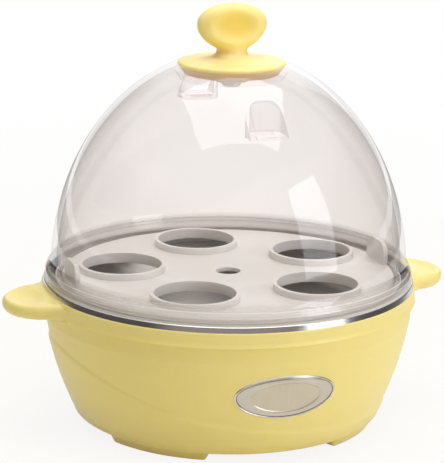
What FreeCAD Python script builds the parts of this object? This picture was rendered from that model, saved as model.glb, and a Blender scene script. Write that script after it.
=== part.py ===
import FreeCAD, Part
import math
import os

from FreeCAD import Placement, Rotation, Vector

# Egg cooker: a moulded base with two handles and a steel steaming dish, a lift-out tray
# with cup holes, and a clear dome lid with a knob.  Millimetres, +Z up, the button faces -Y,
# the handles point along X, and the origin is on the table under the middle of the base.

# Body of the base
RIM_R = 75.0               # outer radius of the steel rim
BODY_TOP = 56.0            # height of the body's top edge
BODY_LIP = 0.9             # how far the body stands out past the steel rim
WALL = 2.2                 # body wall, measured level
SHOULDER_STEP = 1.0        # body in from the steel rim where its side turns upright
SHOULDER_DROP = 12.5       # that place below the top edge
SIDE_TAPER = 11.8          # how much slimmer the body is just above its bottom corner
SIDE_BULGE = 1.5           # side beyond a straight taper at mid height
BASE_CORNER = 1.8          # radius of the bottom corner
BAND_HEIGHT = 5.8          # raised band under the rim
BAND_LEAN = 0.5            # the band is this much slimmer at its lower edge
BAND_CHAMFER = 0.6         # slope under the band
TOP_EDGE = 0.6             # rounding of the body's top edge
SKIRT_PROUD = 0.7          # the lower skirt stands out this far below its wave
WAVE_LOW = 7.5             # height of the wave at the right-hand side
WAVE_DROP = 4.5            # wave at the left-hand side, below the shoulder
WAVE_EASE_LOW = 12.5       # heights of the two inner poles of the wave's curve
WAVE_EASE_HIGH = 9.5
WAVE_EASE_RIGHT = 0.25     # how far those poles stand to the right and to the left, in shares
WAVE_EASE_LEFT = 0.5       # of the body's half width

# Feet and the bottom rim
FOOT_HEIGHT = 3.3
FOOT_LEAN = 0.8            # the feet are this much slimmer at the table
FOOT_START = 25.5          # degrees from the front or back middle
FOOT_END = 67.0
BOTTOM_RIM = 5.4           # width of the solid rim at the bottom of the body
BOTTOM_RIM_TOP = 8.0

# Handles
HANDLE_REACH = 17.2        # tip beyond the band
HANDLE_TIP_R = 16.5        # radius of the rounded tip
HANDLE_FLARE_R = 11.0      # radius of the flare into the body
HANDLE_DROP = 7.0          # underside below the top edge
HANDLE_THICK = 6.6
HANDLE_EDGE = 3.0          # rounding of the edge
HANDLE_DISH = 1.8          # depth of the thumb dish
HANDLE_DISH_R = 44.0       # radius of the dish's sphere

# Steaming dish, rim and seal
SHEET = 0.8                # steel sheet
RIM_HEM = 2.2              # height of the rim's turned-down edge
RIM_LEAN = 0.5             # that edge is this much slimmer at its top
RIM_WIDTH = 5.2            # flat top of the rim
RIM_ROUND = 0.5
LEDGE_DROP = 4.2           # from the rim down to the ledge that carries the tray
LEDGE_WIDTH = 4.5
DISH_DEPTH = 16.0          # from the rim down to the dish's floor
DISH_DRAFT = 7.5           # how much smaller the floor is than the ledge
DISH_CORNER = 4.0
SEAL_WIDTH = 2.4
SEAL_GAP = 0.3             # seal to the hem

# Lid
SPIGOT_GAP = 0.4           # spigot inside the rim
SPIGOT_WALL = 1.6
SPIGOT_DEPTH = 3.2
LID_FLANGE_INSET = 0.9     # lid flange inside the rim's edge
LID_FLANGE_HEIGHT = 1.8    # upright edge of the flange
LID_OGEE_TOP = 8.6         # where the flange's S-curve meets the dome, above the rim
LID_OGEE_EASE = 3.2        # how far the curve keeps upright at each end
DOME_STEP = 3.3            # dome's ellipse inside the rim's edge
DOME_CROWN = 8.3           # how far that ellipse would rise past the knob's seat
DOME_CENTRE = 1.8          # ellipse centre above the rim
KNOB_SEAT_Z = 82.3         # knob's seat above the rim
DOME_WALL = 2.2
VENT_WIDTH = 12.4
VENT_DROP = 16.0           # vent pocket's floor below the knob's seat
VENT_INSET = 34.7          # vent pocket's back wall inside the dome's widest line
VENT_CORNER = 4.0
VENT_WALL = 1.6
VENT_SLOT_LENGTH = 8.0
VENT_SLOT_WIDTH = 2.2
VENT_SLOT_SET = 0.5         # slot from the pocket's back wall
SEAT_GAP = 0.4              # recess in the dome's top round the knob's flange
SEAT_EDGE = 0.5             # rounding of the recess's edge

# Knob
KNOB_SEAT_R = 18.8
KNOB_FLANGE_R = 21.5
KNOB_FLANGE_HEIGHT = 4.8
KNOB_CROWN = 1.5           # rise of the flange's top towards the neck
KNOB_EDGE = 0.7            # bevel of the flange's rim
KNOB_NECK_R = 6.0
KNOB_NECK_FLARE = 3.6      # spread of the neck where it meets the flange
KNOB_NECK_Z = 9.2          # narrowest point of the neck above the seat
KNOB_HEIGHT = 27.9
PADDLE_HALF_WIDTH = 14.4
PADDLE_HALF_THICK = 5.0
PADDLE_WIDE_Z = 19.8       # widest point of the paddle above the seat
PADDLE_DISH = 1.9          # depth of the thumb dish on each face
PADDLE_DISH_R = 26.0
PADDLE_DISH_Z = 18.8       # middle of the dish above the seat
PADDLE_ROUND = 10.3        # half height of the oval that its lower part follows
PADDLE_STEPS = 6           # loft sections below the widest point, and above it
PADDLE_CAP = 0.5           # share of a step left for the flat at the very top
KNOB_SCREW_R = 1.9
KNOB_SCREW_HEAD_R = 3.8
KNOB_SCREW_HEAD = 2.2
KNOB_SCREW_GRIP = 11.0     # thread inside the knob
KNOB_WASHER_R = 6.5
KNOB_WASHER = 1.0

# Screw heads, in shares of the head's own height and radius, and how far threads reach
SCREW_GAP = 0.1            # screws in their holes, all round
HEAD_ROUND = 0.45
HEAD_FLOOR = 0.5           # head left under the driver slot
DRIVE_SLOT = 0.3
THREAD_REACH = 0.88        # share of its hole that a screw fills

# Tray
TRAY_GAP = 0.6             # tray inside the lid's spigot
TRAY_SKIRT = 1.6
TRAY_HEIGHT = 5.2          # from the ledge to the deck's top
TRAY_DECK = 1.6
TRAY_EDGE = 1.2
CUP_COUNT = 5
CUP_R = 16.0
CUP_INSET = 6.7            # collars in from the tray's edge
CUP_COLLAR = 1.5           # wall of the collar round each cup hole
CUP_COLLAR_HEIGHT = 2.6
TRAY_STEAM_R = 5.0         # steam hole in the middle
TAB_WIDTH = 18.0           # finger tabs that lift the tray
TAB_HEIGHT = 9.0
TAB_THICK = 1.8
TAB_INSET = 1.2            # tab in from the deck's edge
TAB_ROUND = 5.0

# Heater under the dish
SPREADER_INSET = 11.8      # disc inside the edge of the dish's floor
SPREADER = 3.0
SPREADER_RIB = 4.2
ELEMENT_INSET = 8.0        # middle of the element inside the disc's edge
ELEMENT_R = 3.2
ELEMENT_OPEN = 40.0        # degrees left open at the back
ELEMENT_BEND = 5.0         # radius of the bend to each straight end
ELEMENT_LEG = 8.0          # straight end of the element
ELEMENT_PIN_R = 1.2
ELEMENT_PIN = 8.0
ELEMENT_GAP = 0.05
RIB_WALL = 1.3             # rib beyond the element's side
THERMOSTAT_R = 9.0
THERMOSTAT_HEIGHT = 6.2
THERMOSTAT_EDGE = 0.8
THERMOSTAT_GAP = 1.5       # hole in the spreader round the thermostat
CLIP = 1.0                 # clip strip
CLIP_WIDTH = 10.0
CLIP_CLEAR = 2.3           # clip's legs from the thermostat's side
CLIP_FOOT = 11.0
CLIP_SCREW_R = 1.5
CLIP_HEAD_R = 2.8
CLIP_HEAD = 1.8
FUSE_R = 2.2
FUSE_LENGTH = 16.0
FUSE_EDGE = 0.7
FUSE_LEAD_R = 0.5
FUSE_LEAD = 4.0
FUSE_CLEAR = 0.5           # fuse clip's foot from the hole round the thermostat
FUSE_GAP = 0.1
FUSE_CLIP_WIDTH = 7.0
FUSE_FOOT = 6.6

# Spade terminals, the same on the thermostat and the switch
SPADE_PITCH = 14.0
SPADE_WIDTH = 4.4
SPADE = 0.8
SPADE_LENGTH = 5.0
SPADE_GAP = 2.0            # clear space round a spade that passes through the clip

# Studs and heat shield
STUD_R = 2.0
STUD_INSET = 5.8           # studs inside the edge of the dish's floor
STUD_COUNT = 3
STUD_TAIL = 2.0            # thread showing under the nut
NUT_HEIGHT = 3.2
NUT_R = 4.04               # corner radius of the hexagon
NUT_SIDES = 6
SHIELD = 1.0
SHIELD_GAP = 1.0           # shield to the cover bosses, beside them and above
SHIELD_EAR_WIDTH = 15.0
SHIELD_HOLE_GAP = 0.25
LUG_BOTTOM = 22.0          # underside of the lugs that the shield bears on
LUG_HEIGHT = 2.6
LUG_CLEAR = 5.0            # inner end of the lugs beyond the studs
LUG_WIDTH = 16.0
SHIELD_BEAR = 6.0          # overlap of the shield's ears under the lugs

# Button
BUTTON_DROP = 14.8         # middle of the button below the shoulder
BEZEL_HALF_LENGTH = 20.2
BEZEL_HALF_HEIGHT = 9.5
BEZEL_LIP = 0.8            # bezel lip over the edge of the hole
BEZEL_PROUD = 0.9
BEZEL_WALL = 1.2
BEZEL_DEPTH = 5.0
BEZEL_FIT = 0.1
BUTTON_GAP = 0.3
BUTTON_PROUD = 0.5
BUTTON_DEPTH = 4.2
BUTTON_TRAVEL = 2.0
BUTTON_PAN_HALF_LENGTH = 13.6
BUTTON_PAN_HALF_HEIGHT = 6.2
BUTTON_PAN = 0.7           # depth of the pan in the button's face
PLUNGER_R = 2.6
PLUNGER_LENGTH = 10.2
PLUNGER_GAP = 0.3
HOLDER = 1.8
HOLDER_DEPTH = 12.0        # holder plate's front behind the body surface
HOLDER_HALF_LENGTH = 29.0
HOLDER_HALF_HEIGHT = 7.0
HOLDER_SCREW_PITCH = 50.0
HOLDER_BOSS_R = 3.4
HOLDER_SCREW_R = 1.4
HOLDER_SCREW_GRIP = 5.0
HOLDER_HEAD_R = 2.6
HOLDER_HEAD = 1.8
SWITCH_LENGTH = 24.0
SWITCH_HEIGHT = 11.0
SWITCH_DEPTH = 7.0
LAMP_R = 2.5
LAMP_ROUND = 2.0
LAMP_BASE_R = 3.0
LAMP_LENGTH = 6.0
LAMP_X = 17.0

# Bottom cover, its screws, the terminal block and the cord inlet
COVER = 2.0
COVER_GAP = 0.3
COVER_RISE = 0.5           # cover's underside above the foot tops
BOSS_R = 4.0
BOSS_INSET = 5.0           # screws inside the bottom rim
BOSS_COUNT = 4
BOSS_RIB = 2.4
COVER_SCREW_R = 1.7
COVER_SCREW_GRIP = 8.0
COVER_HEAD_R = 3.4
COVER_HEAD = 1.2
COVER_SLOTS = 7
COVER_SLOT_LENGTH = 30.0
COVER_SLOT_WIDTH = 2.4
COVER_SLOT_PITCH = 6.0
BLOCK_LENGTH = 26.0
BLOCK_WIDTH = 13.0
BLOCK_HEIGHT = 10.0
BLOCK_INSET = 19.0         # middle of the block inside the bottom rim
BLOCK_WIRE_R = 2.0
BLOCK_WIRE_PITCH = 16.0
BLOCK_WIRE_Z = 4.0
GLAND_Z = 13.0
GLAND_BORE_R = 3.4
GLAND_STEM_R = 4.8
GLAND_COLLAR_R = 6.6
GLAND_EDGE = 1.3
GLAND_OUT = 4.6            # gland beyond the body
GLAND_IN = 4.0             # gland inside the wall

# Sizes and heights that follow from those above
rim_top = BODY_TOP + RIM_HEM
sheet_under = rim_top - SHEET
ledge_top = rim_top - LEDGE_DROP
dish_floor = rim_top - DISH_DEPTH
dish_under = dish_floor - SHEET
rim_in_r = RIM_R - RIM_WIDTH
ledge_in_r = rim_in_r - LEDGE_WIDTH
dish_floor_r = ledge_in_r - DISH_DRAFT
spigot_r = rim_in_r - SPIGOT_GAP
spigot_in_r = spigot_r - SPIGOT_WALL
dome_centre = rim_top + DOME_CENTRE
knob_seat = rim_top + KNOB_SEAT_Z
dome_r = RIM_R - DOME_STEP
dome_half_height = KNOB_SEAT_Z - DOME_CENTRE + DOME_CROWN
vent_floor = knob_seat - VENT_DROP
vent_back = dome_r - VENT_INSET
tray_r = spigot_in_r - TRAY_GAP
cup_pitch_r = tray_r - CUP_INSET - CUP_COLLAR - CUP_R
spreader_r = dish_floor_r - SPREADER_INSET
element_ring_r = spreader_r - ELEMENT_INSET
stud_pitch_r = dish_floor_r - STUD_INSET
lug_reach = stud_pitch_r + LUG_CLEAR
fuse_y = -(THERMOSTAT_R + THERMOSTAT_GAP + FUSE_CLEAR + FUSE_FOOT + CLIP + FUSE_R)
spreader_under = dish_under - SPREADER
element_z = spreader_under - SPREADER_RIB
shield_top = LUG_BOTTOM
shield_under = shield_top - SHIELD
cover_under = FOOT_HEIGHT + COVER_RISE
cover_top = cover_under + COVER
band_bottom = BODY_TOP - BAND_HEIGHT
band_r = RIM_R + BODY_LIP
shoulder_r = RIM_R - SHOULDER_STEP
shoulder_z = BODY_TOP - SHOULDER_DROP
base_r = shoulder_r - SIDE_TAPER
bottom_in_r = base_r - BASE_CORNER - BOTTOM_RIM
boss_pitch_r = bottom_in_r - BOSS_INSET
block_y = bottom_in_r - BLOCK_INSET
wave_high = shoulder_z - WAVE_DROP
button_z = shoulder_z - BUTTON_DROP
handle_tip = band_r + HANDLE_REACH
handle_low = BODY_TOP - HANDLE_DROP
cup_angles = [90.0 + 360.0 * k / CUP_COUNT for k in range(CUP_COUNT)]
stud_angles = [90.0 + 360.0 * k / STUD_COUNT for k in range(STUD_COUNT)]
boss_angles = [45.0 + 360.0 * k / BOSS_COUNT for k in range(BOSS_COUNT)]

UP = Vector(0, 0, 1)
BACK = Vector(0, 1, 0)
ACROSS = Vector(1, 0, 0)
ORIGIN = Vector(0, 0, 0)
FAR = 400.0                # longer than the whole object, for cutting tools
NEAR = 1e-3                # edges are picked out by their place to within this
QUARTER = 1 - math.sqrt(0.5)  # how far in from its corner the middle of a quarter round lies


# Outlines in the R-Z plane
def rz(r, z):
    return Vector(r, 0, z)


def path(points):
    return [Part.makeLine(a, b) for a, b in zip(points, points[1:])]


def arc(start, middle, end):
    return Part.Arc(start, middle, end).toShape()


def revolve(edges):
    face = Part.Face(Part.Wire(edges))
    solid = face.revolve(ORIGIN, UP, 360)
    return Part.Solid(solid) if solid.ShapeType == "Shell" else solid


def revolve_points(points):
    corners = [rz(r, z) for r, z in points]
    return revolve(path(corners + corners[:1]))


def ring(r_in, r_out, low, high):
    return revolve_points([(r_in, low), (r_out, low), (r_out, high), (r_in, high)])


def rod(radius, low, high, x=0.0, y=0.0):
    return Part.makeCylinder(radius, high - low, Vector(x, y, low), UP)


def box(x0, x1, y0, y1, z0, z1):
    return Part.makeBox(x1 - x0, y1 - y0, z1 - z0, Vector(x0, y0, z0))


def polar(radius, degrees, z=0.0):
    turn = math.radians(degrees)
    return Vector(radius * math.cos(turn), radius * math.sin(turn), z)


def turned(shape, degrees):
    copy = shape.copy()
    copy.rotate(ORIGIN, UP, degrees)
    return copy


def mirrored(shape):
    return shape.mirror(ORIGIN, ACROSS)


def circles(shape, radius, z):
    """The level circular edges of a shape that have this radius and height."""
    round_edges = [e for e in shape.Edges if e.Curve.TypeId == "Part::GeomCircle"]
    level = [e for e in round_edges if abs(e.Curve.Center.z - z) < NEAR]
    return [e for e in level if abs(e.Curve.Radius - radius) < NEAR]


def pan_head_screw(radius, head_r, head, grip):
    """A screw that points up: its head ends at height 0, its shank at height grip."""
    shank = rod(radius, -HEAD_FLOOR * head, grip)
    cap = rod(head_r, -head, 0)
    cap = cap.makeFillet(HEAD_ROUND * head, circles(cap, head_r, -head))
    half = 0.5 * DRIVE_SLOT * head_r
    slot = box(-head_r, head_r, -half, half, -head, -HEAD_FLOOR * head)
    return cap.fuse(shank).cut(slot).removeSplitter()


# The body's side is one arc through three points, so its radius is known at any height
side_low = FOOT_HEIGHT + BASE_CORNER
side_middle = rz(0.5 * (base_r + shoulder_r) + SIDE_BULGE, 0.5 * (side_low + shoulder_z))
side_circle = Part.Circle(rz(base_r, side_low), side_middle, rz(shoulder_r, shoulder_z))
side_centre = side_circle.Center
side_radius = side_circle.Radius


def body_r(z):
    return side_centre.x + math.sqrt(side_radius ** 2 - (z - side_centre.z) ** 2)


def side_slope(z):
    """Degrees by which the side's outward normal points below level."""
    return math.degrees(math.atan2(side_centre.z - z, body_r(z) - side_centre.x))


def side_edge(offset, low=side_low):
    heights = (low, 0.5 * (low + shoulder_z), shoulder_z)
    start, middle, end = [rz(body_r(z) + offset, z) for z in heights]
    return arc(start, middle, end)


def body_skin(offset):
    """The body's side as a full solid, moved out level by offset."""
    rest = path([rz(shoulder_r + offset, shoulder_z), rz(0, shoulder_z), rz(0, side_low),
                 rz(base_r + offset, side_low)])
    return revolve([side_edge(offset)] + rest)


def bottom_corner(offset):
    """The rounded corner between the body's bottom edge and its side."""
    r = base_r + offset
    inset = QUARTER * BASE_CORNER
    return arc(rz(r - BASE_CORNER, FOOT_HEIGHT), rz(r - inset, FOOT_HEIGHT + inset), rz(r, side_low))


# The button's own frame: u level, v up the slope, w straight out of the body's side
button_tilt = side_slope(button_z)
button_turn = Rotation(ACROSS, 90 + button_tilt)
button_place = Placement(Vector(0, -body_r(button_z), button_z), button_turn)


def at_button(shape):
    copy = shape.copy()
    copy.Placement = button_place.multiply(copy.Placement)
    return copy


def oval(half_length, half_height, low, high):
    """An oval prism along w in the button's frame."""
    edge = Part.Ellipse(Vector(0, 0, low), half_length, half_height).toShape()
    return at_button(Part.Face(Part.Wire(edge)).extrude(Vector(0, 0, high - low)))


# Base shell
def handle():
    tip_x = handle_tip - HANDLE_TIP_R
    reach = HANDLE_TIP_R + HANDLE_FLARE_R
    turn = math.acos(((band_r + HANDLE_FLARE_R) ** 2 - tip_x ** 2 - reach ** 2) / (2 * tip_x * reach))
    flare = Vector(tip_x + reach * math.cos(turn), reach * math.sin(turn), 0)
    root = flare * (band_r / flare.Length)
    side = Vector(tip_x + HANDLE_TIP_R * math.cos(turn), HANDLE_TIP_R * math.sin(turn), 0)
    toward = (root + side) * 0.5 - flare
    middle = flare + toward * (HANDLE_FLARE_R / toward.Length)
    inside = Vector(rim_in_r, root.y, 0)

    def other(p):
        return Vector(p.x, -p.y, 0)

    edges = [arc(root, middle, side), arc(side, Vector(handle_tip, 0, 0), other(side)),
             arc(other(side), other(middle), other(root))]
    edges += path([other(root), other(inside), inside, root])
    plate = Part.Face(Part.Wire(edges)).extrude(Vector(0, 0, HANDLE_THICK))
    plate.translate(Vector(0, 0, handle_low))
    long_edges = [e for e in plate.Edges if e.Curve.TypeId == "Part::GeomCircle"]
    plate = plate.makeFillet(HANDLE_EDGE, long_edges)
    dish_x = 0.5 * (handle_tip + band_r)
    dish_z = handle_low + HANDLE_THICK - HANDLE_DISH + HANDLE_DISH_R
    return plate.cut(Part.makeSphere(HANDLE_DISH_R, Vector(dish_x, 0, dish_z)))


def wave_skirt():
    """The proud lower skirt: the side moved out, cut off along a wave and clear of the bezel's lip."""
    layer = [bottom_corner(SKIRT_PROUD), side_edge(SKIRT_PROUD)]
    layer += path([rz(shoulder_r + SKIRT_PROUD, shoulder_z), rz(0, shoulder_z), rz(0, FOOT_HEIGHT),
                   rz(base_r + SKIRT_PROUD - BASE_CORNER, FOOT_HEIGHT)])
    layer = revolve(layer)
    reach = band_r + BODY_LIP
    poles = [Vector(reach, 0, WAVE_LOW), Vector(WAVE_EASE_RIGHT * reach, 0, WAVE_EASE_LOW),
             Vector(-WAVE_EASE_LEFT * reach, 0, WAVE_EASE_HIGH), Vector(-reach, 0, wave_high)]
    wave = Part.BezierCurve()
    wave.setPoles(poles)
    under = path([poles[3], Vector(-reach, 0, -FOOT_HEIGHT), Vector(reach, 0, -FOOT_HEIGHT), poles[0]])
    below = Part.Face(Part.Wire([wave.toShape()] + under)).extrude(Vector(0, FAR, 0))
    below.translate(Vector(0, -0.5 * FAR, 0))
    lip = oval(BEZEL_HALF_LENGTH + BEZEL_FIT, BEZEL_HALF_HEIGHT + BEZEL_FIT, -BEZEL_DEPTH, BEZEL_DEPTH)
    return layer.common(below).cut(lip)


def foot():
    """One moulded foot, an arc of the bottom rim carried down to the table."""
    outer = base_r - BASE_CORNER
    joined = FOOT_HEIGHT + 0.5 * BASE_CORNER
    corners = [rz(bottom_in_r, 0), rz(outer - FOOT_LEAN, 0), rz(outer, FOOT_HEIGHT), rz(outer, joined),
               rz(bottom_in_r, joined)]
    face = Part.Face(Part.Wire(path(corners + corners[:1])))
    return turned(face.revolve(ORIGIN, UP, FOOT_END - FOOT_START), FOOT_START - 90)


def cover_boss(degrees):
    """A screw boss for the bottom cover, with the rib that ties it to the wall."""
    centre = polar(boss_pitch_r, degrees)
    top = shield_under - SHIELD_GAP
    post = rod(BOSS_R, cover_top, top, centre.x, centre.y)
    rib = turned(box(boss_pitch_r, FAR, -0.5 * BOSS_RIB, 0.5 * BOSS_RIB, cover_top, top), degrees)
    return post.fuse(rib)


def shield_lug(degrees):
    half = 0.5 * LUG_WIDTH
    return turned(box(lug_reach, FAR, -half, half, LUG_BOTTOM, LUG_BOTTOM + LUG_HEIGHT), degrees)


def holder_boss(side):
    return at_button(rod(HOLDER_BOSS_R, -HOLDER_DEPTH, 0, 0.5 * side * HOLDER_SCREW_PITCH))


def make_base_shell():
    band_low_r = band_r - BAND_LEAN
    outside = [bottom_corner(0), side_edge(0)]
    outside += path([rz(shoulder_r, shoulder_z), rz(shoulder_r, band_bottom - BAND_CHAMFER),
                     rz(band_low_r, band_bottom), rz(band_r, BODY_TOP - TOP_EDGE)])
    inset = QUARTER * TOP_EDGE
    outside += [arc(rz(band_r, BODY_TOP - TOP_EDGE), rz(band_r - inset, BODY_TOP - inset),
                    rz(band_r - TOP_EDGE, BODY_TOP))]
    outside += path([rz(band_r - TOP_EDGE, BODY_TOP), rz(0, BODY_TOP), rz(0, FOOT_HEIGHT),
                     rz(base_r - BASE_CORNER, FOOT_HEIGHT)])
    outside = revolve(outside)
    hollow = [side_edge(-WALL, low=BOTTOM_RIM_TOP)]
    hollow += path([rz(shoulder_r - WALL, shoulder_z), rz(shoulder_r - WALL, FAR), rz(0, FAR),
                    rz(0, -FAR), rz(bottom_in_r, -FAR), rz(bottom_in_r, BOTTOM_RIM_TOP),
                    rz(body_r(BOTTOM_RIM_TOP) - WALL, BOTTOM_RIM_TOP)])
    hollow = revolve(hollow)
    inner = [cover_boss(a) for a in boss_angles]
    inner += [shield_lug(a) for a in stud_angles]
    inner += [holder_boss(-1), holder_boss(1)]
    ties = inner[0].multiFuse(inner[1:]).common(body_skin(-0.5 * WALL))
    quarter = [foot(), turned(foot(), 180 - FOOT_START - FOOT_END)]
    feet = quarter + [turned(f, 180) for f in quarter]
    shell = outside.multiFuse([handle(), mirrored(handle()), wave_skirt()]).cut(hollow)
    shell = shell.multiFuse([ties] + feet)
    cuts = [oval(BEZEL_HALF_LENGTH - BEZEL_LIP + BEZEL_FIT, BEZEL_HALF_HEIGHT - BEZEL_LIP + BEZEL_FIT,
                 -2 * BEZEL_DEPTH, BEZEL_DEPTH)]
    for angle in boss_angles:
        centre = polar(boss_pitch_r, angle)
        cuts += [rod(COVER_SCREW_R + SCREW_GAP, 0, cover_top + COVER_SCREW_GRIP, centre.x, centre.y)]
    for side in (-1, 1):
        hole = rod(HOLDER_SCREW_R + SCREW_GAP, -HOLDER_DEPTH, HOLDER_SCREW_GRIP - HOLDER_DEPTH,
                   0.5 * side * HOLDER_SCREW_PITCH)
        cuts += [at_button(hole)]
    cuts += [Part.makeCylinder(GLAND_STEM_R, FAR, Vector(0, 0, GLAND_Z), BACK)]
    return shell.cut(Part.makeCompound(cuts)).removeSplitter()


# Steaming dish and seal
def make_heating_plate():
    wall_r = rim_in_r + SHEET
    edge_r = RIM_R - RIM_LEAN
    upper = [(RIM_R - SHEET, BODY_TOP), (RIM_R, BODY_TOP), (edge_r, rim_top), (rim_in_r, rim_top),
             (rim_in_r, ledge_top), (ledge_in_r, ledge_top), (dish_floor_r, dish_floor), (0, dish_floor)]
    lower = [(0, dish_under), (dish_floor_r + SHEET, dish_under), (ledge_in_r + SHEET, ledge_top - SHEET),
             (wall_r, ledge_top - SHEET), (wall_r, sheet_under), (edge_r - SHEET, sheet_under)]
    plate = revolve_points(upper + lower)
    plate = plate.makeFillet(DISH_CORNER, circles(plate, dish_floor_r, dish_floor))
    plate = plate.makeFillet(DISH_CORNER + SHEET, circles(plate, dish_floor_r + SHEET, dish_under))
    return plate.makeFillet(RIM_ROUND, circles(plate, edge_r, rim_top))


def make_plate_seal():
    outer = RIM_R - RIM_LEAN - SHEET - SEAL_GAP
    return ring(outer - SEAL_WIDTH, outer, BODY_TOP, sheet_under)


# Heater
def element_half():
    """Points on the right half of the element's middle line: the bend's ends and middle, and the tip."""
    turn = 90 - 0.5 * ELEMENT_OPEN
    ring_end = polar(element_ring_r, turn, element_z)
    centre = polar(element_ring_r + ELEMENT_BEND, turn, element_z)
    bend_middle = centre + polar(ELEMENT_BEND, 180 + 0.5 * turn)
    leg_start = centre - ACROSS * ELEMENT_BEND
    return ring_end, bend_middle, leg_start, leg_start + BACK * ELEMENT_LEG


def element(extra):
    """The sheathed C-shaped element and its two straight ends, grown all round by extra."""
    ring_end, bend_middle, leg_start, leg_end = element_half()
    left = [Vector(-p.x, p.y, p.z) for p in element_half()]
    front = Vector(0, -element_ring_r, element_z)
    line = path([leg_end, leg_start]) + [arc(leg_start, bend_middle, ring_end)]
    line += [arc(ring_end, front, left[0]), arc(left[0], left[1], left[2])] + path([left[2], left[3]])
    section = Part.Wire(Part.Circle(leg_end, BACK, ELEMENT_R + extra).toShape())
    return Part.Wire(line).makePipeShell([section], True, True)


def make_heating_element():
    leg_end = element_half()[3]
    pins = []
    for x in (-leg_end.x, leg_end.x):
        root = Vector(x, leg_end.y - 0.5 * ELEMENT_LEG, element_z)
        pins += [Part.makeCylinder(ELEMENT_PIN_R, 0.5 * ELEMENT_LEG + ELEMENT_PIN, root, BACK)]
    return element(0).multiFuse(pins)


clip_screw_x = THERMOSTAT_R + CLIP_CLEAR + CLIP + 0.5 * CLIP_FOOT
fuse_screw_y = fuse_y + FUSE_R + CLIP + 0.5 * FUSE_FOOT
clip_screw_spots = [(-clip_screw_x, 0.0), (clip_screw_x, 0.0), (0.0, fuse_screw_y)]


def make_heat_spreader():
    disc = rod(spreader_r, spreader_under, dish_under)
    half_rib = ELEMENT_R + RIB_WALL
    rib = ring(element_ring_r - half_rib, element_ring_r + half_rib, element_z, spreader_under)
    cuts = [element(ELEMENT_GAP), rod(THERMOSTAT_R + THERMOSTAT_GAP, element_z, dish_under)]
    hole_r = CLIP_SCREW_R + SCREW_GAP
    cuts += [rod(hole_r, spreader_under, dish_under, x, y) for x, y in clip_screw_spots]
    return disc.fuse(rib).cut(Part.makeCompound(cuts)).removeSplitter()


def spade(root, x, y, grow):
    """A flat terminal that points down from height root, grown all round by grow."""
    wide = 0.5 * SPADE_WIDTH + grow
    thick = 0.5 * SPADE + grow
    return box(x - wide, x + wide, y - thick, y + thick, root - SPADE_LENGTH, root + SPADE)


def make_thermostat():
    low = dish_under - THERMOSTAT_HEIGHT
    can = rod(THERMOSTAT_R, low, dish_under)
    can = can.makeFillet(THERMOSTAT_EDGE, circles(can, THERMOSTAT_R, low))
    spades = [spade(low, 0, 0.5 * side * SPADE_PITCH, 0) for side in (-1, 1)]
    return can.multiFuse(spades)


def make_thermostat_clip():
    low = dish_under - THERMOSTAT_HEIGHT - CLIP
    half = 0.5 * CLIP_WIDTH
    leg = THERMOSTAT_R + CLIP_CLEAR
    strip = [box(-leg - CLIP, leg + CLIP, -half, half, low, low + CLIP)]
    for side in (-1, 1):
        inner, outer = sorted((side * leg, side * (leg + CLIP)))
        strip += [box(inner, outer, -half, half, low, spreader_under)]
        inner, outer = sorted((side * leg, side * (leg + CLIP + CLIP_FOOT)))
        strip += [box(inner, outer, -half, half, spreader_under - CLIP, spreader_under)]
    clip = strip[0].multiFuse(strip[1:]).removeSplitter()
    holes = [rod(CLIP_SCREW_R + SCREW_GAP, low, spreader_under, x, y) for x, y in clip_screw_spots[:2]]
    slots = [spade(low + CLIP, 0, 0.5 * side * SPADE_PITCH, SPADE_GAP) for side in (-1, 1)]
    return clip.cut(Part.makeCompound(holes + slots))


fuse_z = spreader_under - FUSE_R - FUSE_GAP


def make_thermal_fuse():
    can = Part.makeCylinder(FUSE_R, FUSE_LENGTH, Vector(-0.5 * FUSE_LENGTH, fuse_y, fuse_z), ACROSS)
    can = can.makeFillet(FUSE_EDGE, [e for e in can.Edges if e.Closed])
    span = FUSE_LENGTH + 2 * FUSE_LEAD
    leads = Part.makeCylinder(FUSE_LEAD_R, span, Vector(-0.5 * span, fuse_y, fuse_z), ACROSS)
    return can.fuse(leads)


def make_fuse_clip():
    """A strip bent into a U under the fuse, with a foot on the side of its screw."""
    inner = FUSE_R + FUSE_GAP
    outer = inner + CLIP
    foot_end = fuse_screw_y + 0.5 * FUSE_FOOT

    def yz(y, z):
        return Vector(-0.5 * FUSE_CLIP_WIDTH, y, z)

    front_top = [yz(fuse_y - inner, fuse_z), yz(fuse_y - inner, spreader_under),
                 yz(fuse_y - outer, spreader_under), yz(fuse_y - outer, fuse_z)]
    foot_side = [yz(fuse_y + outer, fuse_z), yz(fuse_y + outer, spreader_under - CLIP),
                 yz(foot_end, spreader_under - CLIP), yz(foot_end, spreader_under),
                 yz(fuse_y + inner, spreader_under), yz(fuse_y + inner, fuse_z)]
    edges = path(front_top) + [arc(front_top[-1], yz(fuse_y, fuse_z - outer), foot_side[0])]
    edges += path(foot_side) + [arc(foot_side[-1], yz(fuse_y, fuse_z - inner), front_top[0])]
    strip = Part.Face(Part.Wire(edges)).extrude(Vector(FUSE_CLIP_WIDTH, 0, 0))
    return strip.cut(rod(CLIP_SCREW_R + SCREW_GAP, fuse_z, dish_under, 0, fuse_screw_y))


def make_clip_screws():
    screw = pan_head_screw(CLIP_SCREW_R, CLIP_HEAD_R, CLIP_HEAD, CLIP + THREAD_REACH * SPREADER)
    copies = []
    for x, y in clip_screw_spots:
        copy = screw.copy()
        copy.translate(Vector(x, y, spreader_under - CLIP))
        copies += [copy]
    return Part.makeCompound(copies)


# Studs, nuts and the shield that draws the dish down
def make_plate_studs():
    low = shield_under - NUT_HEIGHT - STUD_TAIL
    spots = [polar(stud_pitch_r, a) for a in stud_angles]
    return Part.makeCompound([rod(STUD_R, low, dish_under, p.x, p.y) for p in spots])


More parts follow.
